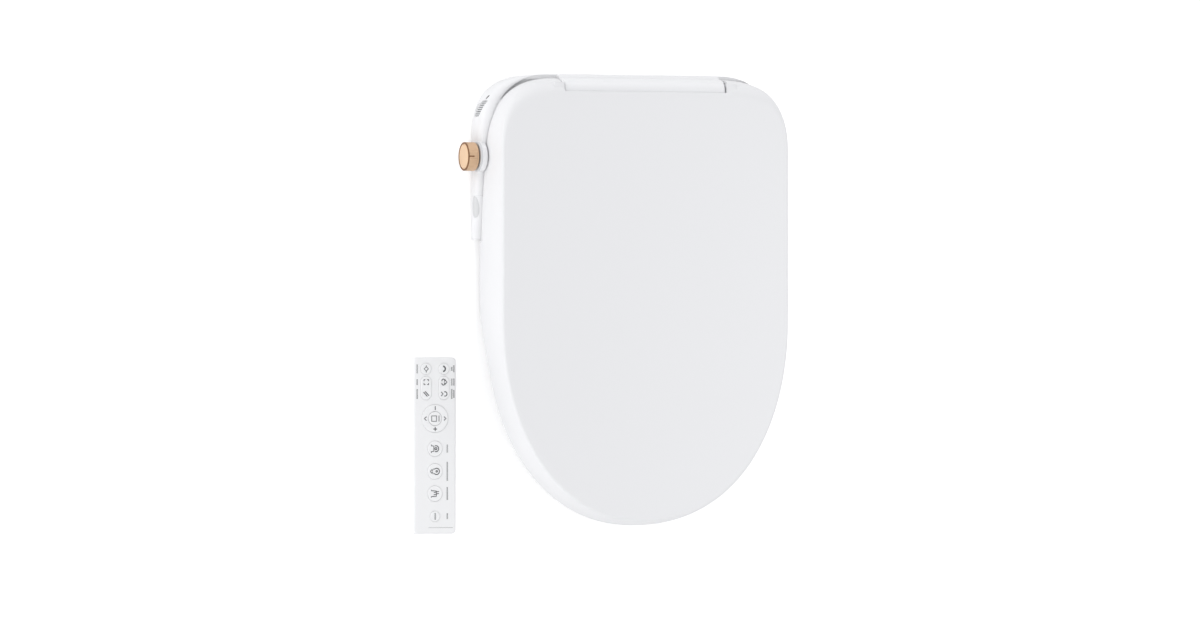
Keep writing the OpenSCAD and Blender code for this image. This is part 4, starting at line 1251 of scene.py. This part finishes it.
def make_barrel():
    """Hollow barrel between the lid's knuckles, and the bush at each of its ends."""
    barrel = new_piece("hinge_barrel_skin", barrel_mesh(), "housing_white", "base",
                       ["hinge_barrel"])
    cuts = []
    for half, radius in ((BARREL_HALF - BARREL_WALL, HOLLOW_R), (BARREL_HALF + 1, PIN_R + 0.04)):
        cuts.append(loose("hollow", lathe([(-half, radius), (half, radius)], about_hinge, 48)))
    combine(barrel, cuts, "DIFFERENCE")
    shade(barrel, 30)
    bore_r = PIN_R + 0.6
    for word, side, thick, smaller in BUSHES:
        x0, x1 = side * (BARREL_HALF + 0.05), side * (BARREL_HALF + thick)
        radius = BARREL_R - smaller
        rows = [(x0, bore_r), (x0, radius), (x1 - side * 0.5, radius),
                (x1 - side * 0.15, radius - 0.15), (x1, radius - 0.5), (x1, bore_r)]
        plain_piece("hinge_bush_" + word, lathe(rows, about_hinge, 96, hollow=True),
                    "housing_white", "base", angle=40)


# ---------------------------------------------------------------- housing

# Frame node of each housing part, the body it moves with, and how wide its eased edges are.
HOUSING = (("upper_cover", "base", 0.7), ("lower_case", "base", 0.7),
           ("deodoriser_drawer", "air_filter", 0.5), ("release_button", "release", 0.4))


def make_housing():
    """Cover, case and their small parts, with eased edges that leave a fine joint line."""
    for node, body, width in HOUSING:
        eased_copy(node, body, "housing_white", width)


# ---------------------------------------------------------------- remote control

REMOTE_X = (REMOTE_LOW[0] + REMOTE_HIGH[0]) / 2
REMOTE_Y = (REMOTE_LOW[1] + REMOTE_HIGH[1]) / 2
REMOTE_W = REMOTE_HIGH[0] - REMOTE_LOW[0]
REMOTE_LEN = REMOTE_HIGH[1] - REMOTE_LOW[1]
REMOTE_TOP = REMOTE_HIGH[2]
REMOTE_SPLIT = REMOTE_LOW[2]
# Radii of the remote's corners and of its edges, its wall, and the sizes of its keys.
REMOTE_R = 5.0
SHELL_ROUND = 3.0
SHELL_WALL = 2.6
KEY_GAP = 0.24
ROUND_KEYS = {"key_centre": 8.0, "key_one": 9.0, "key_two": 9.0, "key_three": 9.0,
              "key_lower": 6.0, "key_small_left": 6.5, "key_small_right": 6.5}
ROCKERS = ("key_rocker_left", "key_rocker_right")
ROCKER = (27.0, 13.0)
DIAL_R = 16.0
DIAL_BORE = 8.3


def node_middle(node):
    """Middle of a frame node, seen from above."""
    low, high = node_box(node)
    return (low[0] + high[0]) / 2, (low[1] + high[1]) / 2


def remote_stack(rows):
    """Closed form through the remote's outline."""
    return stack_mesh(box_outline(REMOTE_W, REMOTE_LEN, REMOTE_R, 16), rows, (REMOTE_X, REMOTE_Y))


def key_hole(node, outline, grow=0.0, turn=0.0):
    """Cutter for one key's hole through the front shell."""
    return loose("hole", stack_mesh(outline, [(REMOTE_SPLIT, grow), (REMOTE_TOP + 3, grow)],
                                    node_middle(node), turn))


def make_remote_front():
    """Front shell with a hole for every key."""
    side_top = REMOTE_TOP - SHELL_ROUND
    rows = [(REMOTE_SPLIT, -2.5), (REMOTE_SPLIT, -0.25), (REMOTE_SPLIT + 0.3, 0.0),
            (side_top, 0.0)]
    for a in sweep(15, 90, 15):
        rows.append((side_top + (SHELL_ROUND - 0.05) * math.sin(a),
                     -SHELL_ROUND * (1 - math.cos(a))))
    rows.append((REMOTE_TOP, -4.6))
    front = new_piece("remote_front_skin", remote_stack(rows), "remote_white", "remote",
                      ["remote_front"])
    cuts = [loose("inside", remote_stack([(REMOTE_SPLIT - 1, -SHELL_WALL),
                                          (REMOTE_TOP - 2.1, -SHELL_WALL)]))]
    cuts += [key_hole(node, round_outline(radius + KEY_GAP))
             for node, radius in ROUND_KEYS.items() if node != "key_centre"]
    cuts.append(key_hole("key_dial", round_outline(DIAL_R + KEY_GAP, 96)))
    cuts += [key_hole(node, capsule_outline(*ROCKER), KEY_GAP, 90) for node in ROCKERS]
    combine(front, cuts, "DIFFERENCE")
    shade(front, 35)


def make_remote_back():
    """Back shell with the battery door's well and bay."""
    rows = [(0.0, -4.6), (0.02, -3.2)]
    for a in sweep(0, 90, 15):
        rows.append((SHELL_ROUND - SHELL_ROUND * math.cos(a) + 0.05,
                     -SHELL_ROUND * (1 - math.sin(a))))
    rows += [(REMOTE_SPLIT - 0.5, 0.0), (REMOTE_SPLIT - 0.15, -0.25), (REMOTE_SPLIT - 0.15, -2.5)]
    back = new_piece("remote_back_skin", remote_stack(rows), "remote_white", "remote",
                     ["remote_back"])
    well = loose("well", box_mesh((REMOTE_X - 18, REMOTE_Y - 90, -1),
                                  (REMOTE_X + 18, REMOTE_Y - 10, 1.2)))
    bay = loose("bay", box_mesh((REMOTE_X - 15, REMOTE_Y - 66, -1),
                                (REMOTE_X + 15, REMOTE_Y - 14, 3)))
    hollow = loose("hollow", remote_stack([(2.2, -SHELL_WALL), (REMOTE_SPLIT + 2, -SHELL_WALL)]))
    combine(back, [well, bay, hollow], "DIFFERENCE")
    shade(back, 35)


# Every key has a flange that holds it in, a soft top edge and a slightly dished top.
KEY_TOP = REMOTE_TOP + 0.8
KEY_DISH = 0.12
KEY_SOFT = 0.8
FLANGE = 0.85


def key_wall(low, side):
    """Rows up a key's outside: flange, straight side and soft edge."""
    level = KEY_TOP - KEY_SOFT
    rows = [(low, side + FLANGE), (low + 1.1, side + FLANGE), (low + 1.2, side), (level, side)]
    for a in sweep(20, 90, 14):
        rows.append((level + KEY_SOFT * math.sin(a), side - KEY_SOFT * (1 - math.cos(a))))
    return rows


def key_mesh(node, outline, radius, turn=0.0):
    """Key with a dished top; the radius is half of its lesser width."""
    rows = key_wall(node_box(node)[0][2], 0.0)
    for k in range(1, 7):
        f = k / 6.5
        rows.append((KEY_TOP - KEY_DISH * (1 - (1 - f) ** 2),
                     -KEY_SOFT - (radius - KEY_SOFT) * f))
    return stack_mesh(outline, rows, node_middle(node), turn)


def make_keys():
    """Round keys and rockers."""
    meshes = {node: key_mesh(node, round_outline(radius), radius)
              for node, radius in ROUND_KEYS.items()}
    for node in ROCKERS:
        meshes[node] = key_mesh(node, capsule_outline(*ROCKER), ROCKER[1] / 2, 90)
    for node, mesh_data in meshes.items():
        plain_piece(node + "_skin", mesh_data, "remote_white", node, [node], angle=40)


def make_dial():
    """Ring-shaped dial round the centre key."""
    low = node_box("key_dial")[0][2]
    shelf = 9.5
    rows = [(low, shelf)] + key_wall(low, DIAL_R)
    rows += [(KEY_TOP - 0.1, (DIAL_BORE + DIAL_R) / 2), (KEY_TOP - 0.08, DIAL_BORE + 0.9),
             (KEY_TOP - 0.3, DIAL_BORE + 0.2), (KEY_TOP - KEY_SOFT, DIAL_BORE),
             (low + 2.3, DIAL_BORE), (low + 2.3, shelf)]
    cx, cy = node_middle("key_dial")
    mesh_data = lathe(rows, lambda z, u, v: (cx + u, cy + v, z), 128, hollow=True)
    plain_piece("key_dial_skin", mesh_data, "remote_white", "key_dial", ["key_dial"], angle=40)


# ---------------------------------------------------------------- printed marks


def line_mesh(path, width, z, closed):
    """Flat printed stroke along a path."""
    top = z + INK_THICK
    points = [Vector(p) for p in path]
    count = len(points)
    left, right = [], []
    for i, p in enumerate(points):
        a = points[(i - 1) % count] if closed or i else p
        b = points[(i + 1) % count] if closed or i < count - 1 else p
        d = (b - a).normalized()
        n = Vector((-d.y, d.x)) * width / 2
        left.append(p + n)
        right.append(p - n)
    rings = [[(p.x, p.y, z), (p.x, p.y, top), (q.x, q.y, top), (q.x, q.y, z)]
             for p, q in zip(left, right)]
    if closed:
        rings.append(rings[0])
    return skin_rings(rings, caps=not closed)


# Thickness and widths of a stroke, length and width of a tick, the step from one tick to the
# next, how far marks lie from the middle of the dial and of a rocker, and the height of the ink.
INK_THICK = 0.05
INK_W = 1.05
INK_FINE = INK_W * 0.8
TICK = (1.7, 0.62)
TICK_STEP = 1.15
DIAL_REACH = 12.0
ROCKER_REACH = 6.8
KEY_INK_Z = KEY_TOP - 0.04
DIAL_INK_Z = KEY_TOP - 0.05
SHELL_INK_Z = REMOTE_TOP + 0.005


def print_strokes(name, body, centre, strokes, z):
    """One printed mark of several strokes, about a centre."""
    vertices, faces = [], []
    for path, width, closed in strokes:
        placed = [(centre[0] + x, centre[1] + y) for x, y in path]
        more, quads = line_mesh(placed, width, z, closed)
        offset = len(vertices)
        vertices += more
        faces += [tuple(i + offset for i in q) for q in quads]
    plain_piece(name, (vertices, faces), "dark_plastic", body, material=INK)


def stroke(*path):
    """Open stroke through points."""
    return (list(path), INK_W, False)


def arc(cx, cy, radius, start, stop):
    """Open stroke along an arc."""
    return (arc_points(cx, cy, radius, start, stop), INK_W, False)


def circle(cx, cy, radius):
    """Closed round stroke."""
    return (arc_points(cx, cy, radius, 0, 342), INK_W, True)


def bar(x, y, length, width=INK_W, lean=0.0):
    """Stroke along Y about a point."""
    return ([(x - lean, y - length / 2), (x + lean, y + length / 2)], width, False)


def ticks(x, y, length):
    """Row of short strokes along Y about a point."""
    count = max(round(length / TICK_STEP), 3)
    half = TICK[0] / 2
    return [([(x - half, y + (i - (count - 1) / 2) * TICK_STEP),
              (x + half, y + (i - (count - 1) / 2) * TICK_STEP)], TICK[1], False)
            for i in range(count)]


def make_dial_marks():
    """Minus, plus and two arrows on the dial; a square and a row of ticks on the centre key."""
    cx, cy = node_middle("key_dial")
    print_strokes("mark_minus", "key_dial", (cx, cy + DIAL_REACH), [bar(0, 0, 4.4)], DIAL_INK_Z)
    print_strokes("mark_plus", "key_dial", (cx, cy - DIAL_REACH),
                  [bar(0, 0, 4.6), stroke((-2.3, 0), (2.3, 0))], DIAL_INK_Z)
    for side, word in SIDES:
        tip = side * 1.3
        print_strokes("mark_arrow_" + word, "key_dial", (cx + side * DIAL_REACH, cy),
                      [stroke((-tip, 2.2), (tip, 0), (-tip, -2.2))], DIAL_INK_Z)
    square = [(-2.9, -3.1), (2.9, -3.1), (2.9, 3.1), (-2.9, 3.1)]
    print_strokes("mark_square", "key_centre", (cx - 1.4, cy), [(square, INK_W, True)], KEY_INK_Z)
    print_strokes("mark_dash", "key_centre", (cx + 4.7, cy), ticks(0, 0, 7.0), KEY_INK_Z)


def make_key_marks():
    """Plain marks on the round keys: simple jets of water, ticks, a diamond and an arc."""
    seat = stroke((-4.8, 4.8), (-4.8, 3.4), (-1.6, 2.9), (-1.6, -2.9), (-4.8, -3.4), (-4.8, -4.8))
    basin = stroke((-4.8, 4.6), (-4.8, 3.4), (1.4, 3.0), (1.4, -3.0), (-4.8, -3.4), (-4.8, -4.6))
    marks = {
        "key_one": [seat, arc(0.9, 0, 3.4, -110, 110), circle(0.9, 0, 1.2)],
        "key_two": [arc(1.6, 0, 3.6, -140, 140), circle(1.9, 0, 0.9),
                    bar(-3.0, 1.7, 2.8, INK_FINE, 0.9), bar(-3.0, -1.7, 2.8, INK_FINE, -0.9),
                    bar(-5.0, 1.2, 2.4, INK_FINE, 0.9), bar(-5.0, -1.2, 2.4, INK_FINE, -0.9)],
        "key_three": [basin, ([(-1.8, 1.2), (4.6, 2.6)], INK_FINE, False),
                      ([(-1.8, -1.2), (4.6, 0.2)], INK_FINE, False)],
        "key_lower": ticks(0, 0, 8.0),
        "key_small_left": [([(-2.6, 0), (0, 2.6), (2.6, 0), (0, -2.6)], INK_W, True),
                           bar(0, 3.4, 1.4, INK_FINE), bar(0, -3.4, 1.4, INK_FINE)],
        "key_small_right": [(arc_points(-1.6, 0, 3.0, -85, 85), INK_W * 1.6, False)],
    }
    for node, strokes in marks.items():
        print_strokes("mark_" + node, node, node_middle(node), strokes, KEY_INK_Z)


def make_rocker_marks():
    """Plain marks at the ends of the two rockers."""
    corners = [stroke((sx * 2.8, sy * 1.1), (sx * 2.8, sy * 2.8), (sx * 1.1, sy * 2.8))
               for sx in (-1, 1) for sy in (-1, 1)]
    ends = (("left", "upper", corners),
            ("left", "lower", [stroke((-3.4, 2.2), (1.4, -2.8)),
                               stroke((-1.4, 3.0), (3.4, -2.0))]),
            ("right", "upper", [arc(-1.0, 1.6, 1.8, -40, 200), arc(-1.0, -1.6, 1.8, 160, 400),
                                stroke((0.6, 3.0), (3.6, 0), (0.6, -3.0))]),
            ("right", "lower", [stroke((-3.6, 2.4), (-1.4, 0), (-3.6, -2.4)),
                                arc(1.0, 0, 2.5, -110, 110)]))
    for word, end, strokes in ends:
        node = "key_rocker_" + word
        x, y = node_middle(node)
        y += ROCKER_REACH if end == "upper" else -ROCKER_REACH
        print_strokes(f"mark_{word}_{end}", node, (x, y), strokes, KEY_INK_Z)


def make_side_bars():
    """Plain rows of ticks printed beside the keys, and the fine line near the remote's foot."""
    edge = REMOTE_W / 2
    side = edge - 4.6
    rocker_y = node_middle("key_rocker_left")[1]
    rows = (("small", node_middle("key_small_left")[1], 10.0, 5.0, 8.5),
            ("upper", rocker_y + ROCKER_REACH, 7.0, 8.0, 8.0),
            ("lower", rocker_y - ROCKER_REACH, 11.0, 11.0, 9.0))
    for word, y, left, inner, outer in rows:
        print_strokes("bar_left_" + word, "remote", (REMOTE_X - side, y), ticks(0, 0, left),
                      SHELL_INK_Z)
        print_strokes("bars_right_" + word, "remote", (REMOTE_X + side, y),
                      ticks(-1.25, 0, inner) + ticks(1.25, 0, outer), SHELL_INK_Z)
    for node, length in (("key_one", 9.0), ("key_two", 22.0), ("key_three", 15.0),
                         ("key_lower", 6.5)):
        print_strokes("bar_" + node, "remote", (REMOTE_X + edge - 11.4, node_middle(node)[1]),
                      ticks(0, 0, length), SHELL_INK_Z)
    foot = REMOTE_Y - REMOTE_LEN / 2 + 7.5
    print_strokes("foot_line", "remote", (REMOTE_X + 2, foot),
                  [([(-10, 0), (20, 0)], 0.25, False)], SHELL_INK_Z)


# ---------------------------------------------------------------- stage, lamps and camera

# The view's turn in degrees; its width, the point it looks at and its distance in millimetres.
VIEW_YAW = 22.5
VIEW_WIDTH = 1389.6
AIM = (-29.5, -226.8, 0.0)
DISTANCE = 9000.0
SENSOR = 36.0


def make_camera():
    """Long lens over the seat, turned to its left side."""
    data = bpy.data.cameras.new("camera")
    camera = bpy.data.objects.new("camera", data)
    bpy.context.scene.collection.objects.link(camera)
    yaw = math.radians(VIEW_YAW)
    back = Vector((-math.sin(yaw), 0, math.cos(yaw)))
    up = Vector((0, 1, 0))
    right = up.cross(back)
    camera.matrix_world = Matrix.Translation(
        (Vector(AIM) + back * DISTANCE) * MM) @ Matrix((right, up, back)).transposed().to_4x4()
    data.sensor_width = SENSOR
    data.lens = SENSOR * DISTANCE / VIEW_WIDTH
    data.clip_end = 100.0
    bpy.context.scene.camera = camera


def make_world():
    """Soft even light from all round, with a plain bright ground in view."""
    world = bpy.data.worlds.new("studio")
    bpy.context.scene.world = world
    world.use_nodes = True
    tree = world.node_tree
    tree.nodes.clear()
    soft = add(tree, "ShaderNodeBackground")
    soft.inputs["Color"].default_value = (0.97, 0.98, 1.0, 1)
    soft.inputs["Strength"].default_value = 0.59
    bright = add(tree, "ShaderNodeBackground")
    path = add(tree, "ShaderNodeLightPath")
    mix = add(tree, "ShaderNodeMixShader")
    output = add(tree, "ShaderNodeOutputWorld")
    tree.links.new(path.outputs["Is Camera Ray"], mix.inputs["Fac"])
    tree.links.new(soft.outputs["Background"], mix.inputs[1])
    tree.links.new(bright.outputs["Background"], mix.inputs[2])
    tree.links.new(mix.outputs["Shader"], output.inputs["Surface"])


def make_floor():
    """Pale matt floor under the seat, lifted a little where the camera sees it."""
    mesh = bpy.data.meshes.new("floor")
    reach, level = 6.0, -0.0005
    corners = ((-1, -1), (1, -1), (1, 1), (-1, 1))
    mesh.from_pydata([(sx * reach, sy * reach, level) for sx, sy in corners], [], [(0, 1, 2, 3)])
    floor = bpy.data.objects.new("floor", mesh)
    bpy.context.scene.collection.objects.link(floor)
    material, tree, shader = new_material("pale_floor")
    skin = place_group(tree, SKIN, Color=(0.9, 0.9, 0.9, 1), Drift=0.005)
    tree.links.new(skin.outputs["Color"], shader.inputs["Base Color"])
    shader.inputs["Roughness"].default_value = 0.9
    shader.inputs["Emission Color"].default_value = (1, 1, 1, 1)
    path = add(tree, "ShaderNodeLightPath")
    lift = math_node(tree, "MULTIPLY", path.outputs["Is Camera Ray"], 0.4)
    tree.links.new(lift, shader.inputs["Emission Strength"])
    mesh.materials.append(material)


def area_lamp(name, place, aim, size, power, mirrored=True):
    """Soft rectangular lamp; one that is not mirrored leaves no streak on a glossy face."""
    data = bpy.data.lights.new(name, "AREA")
    data.shape = "RECTANGLE"
    data.size, data.size_y = size
    data.energy = power
    lamp = bpy.data.objects.new(name, data)
    bpy.context.scene.collection.objects.link(lamp)
    lamp.location = place
    lamp.rotation_mode = "QUATERNION"
    lamp.rotation_quaternion = (Vector(aim) - Vector(place)).to_track_quat("-Z", "Y")
    lamp.visible_glossy = mirrored


def make_lamps():
    """Four large soft lamps round the seat, aimed at its middle."""
    middle = (0, -0.21, 0.05)
    area_lamp("high_right", (1.05, -0.5, 1.05), middle, (1.6, 1.6), 7.5)
    area_lamp("low_left", (-2.4, -0.3, 0.7), middle, (4.4, 2.0), 42, mirrored=False)
    area_lamp("low_front", (-0.9, -2.4, 0.65), middle, (3.6, 1.8), 15)
    area_lamp("rear_soft", (0.2, 2.2, 1.2), middle, (3.8, 2.2), 25)


make_camera()
make_world()
make_floor()
make_lamps()
finish_frame_nodes()
make_lid()
make_lid_knuckles()
make_ring()
make_bumpers()
make_arm()
make_window()
make_grille()
make_collar()
make_knob()
make_knob_face()
make_barrel()
make_housing()
make_remote_front()
make_remote_back()
make_keys()
make_dial()
make_dial_marks()
make_key_marks()
make_rocker_marks()
make_side_bars()

bpy.context.scene.view_settings.view_transform = "Standard"
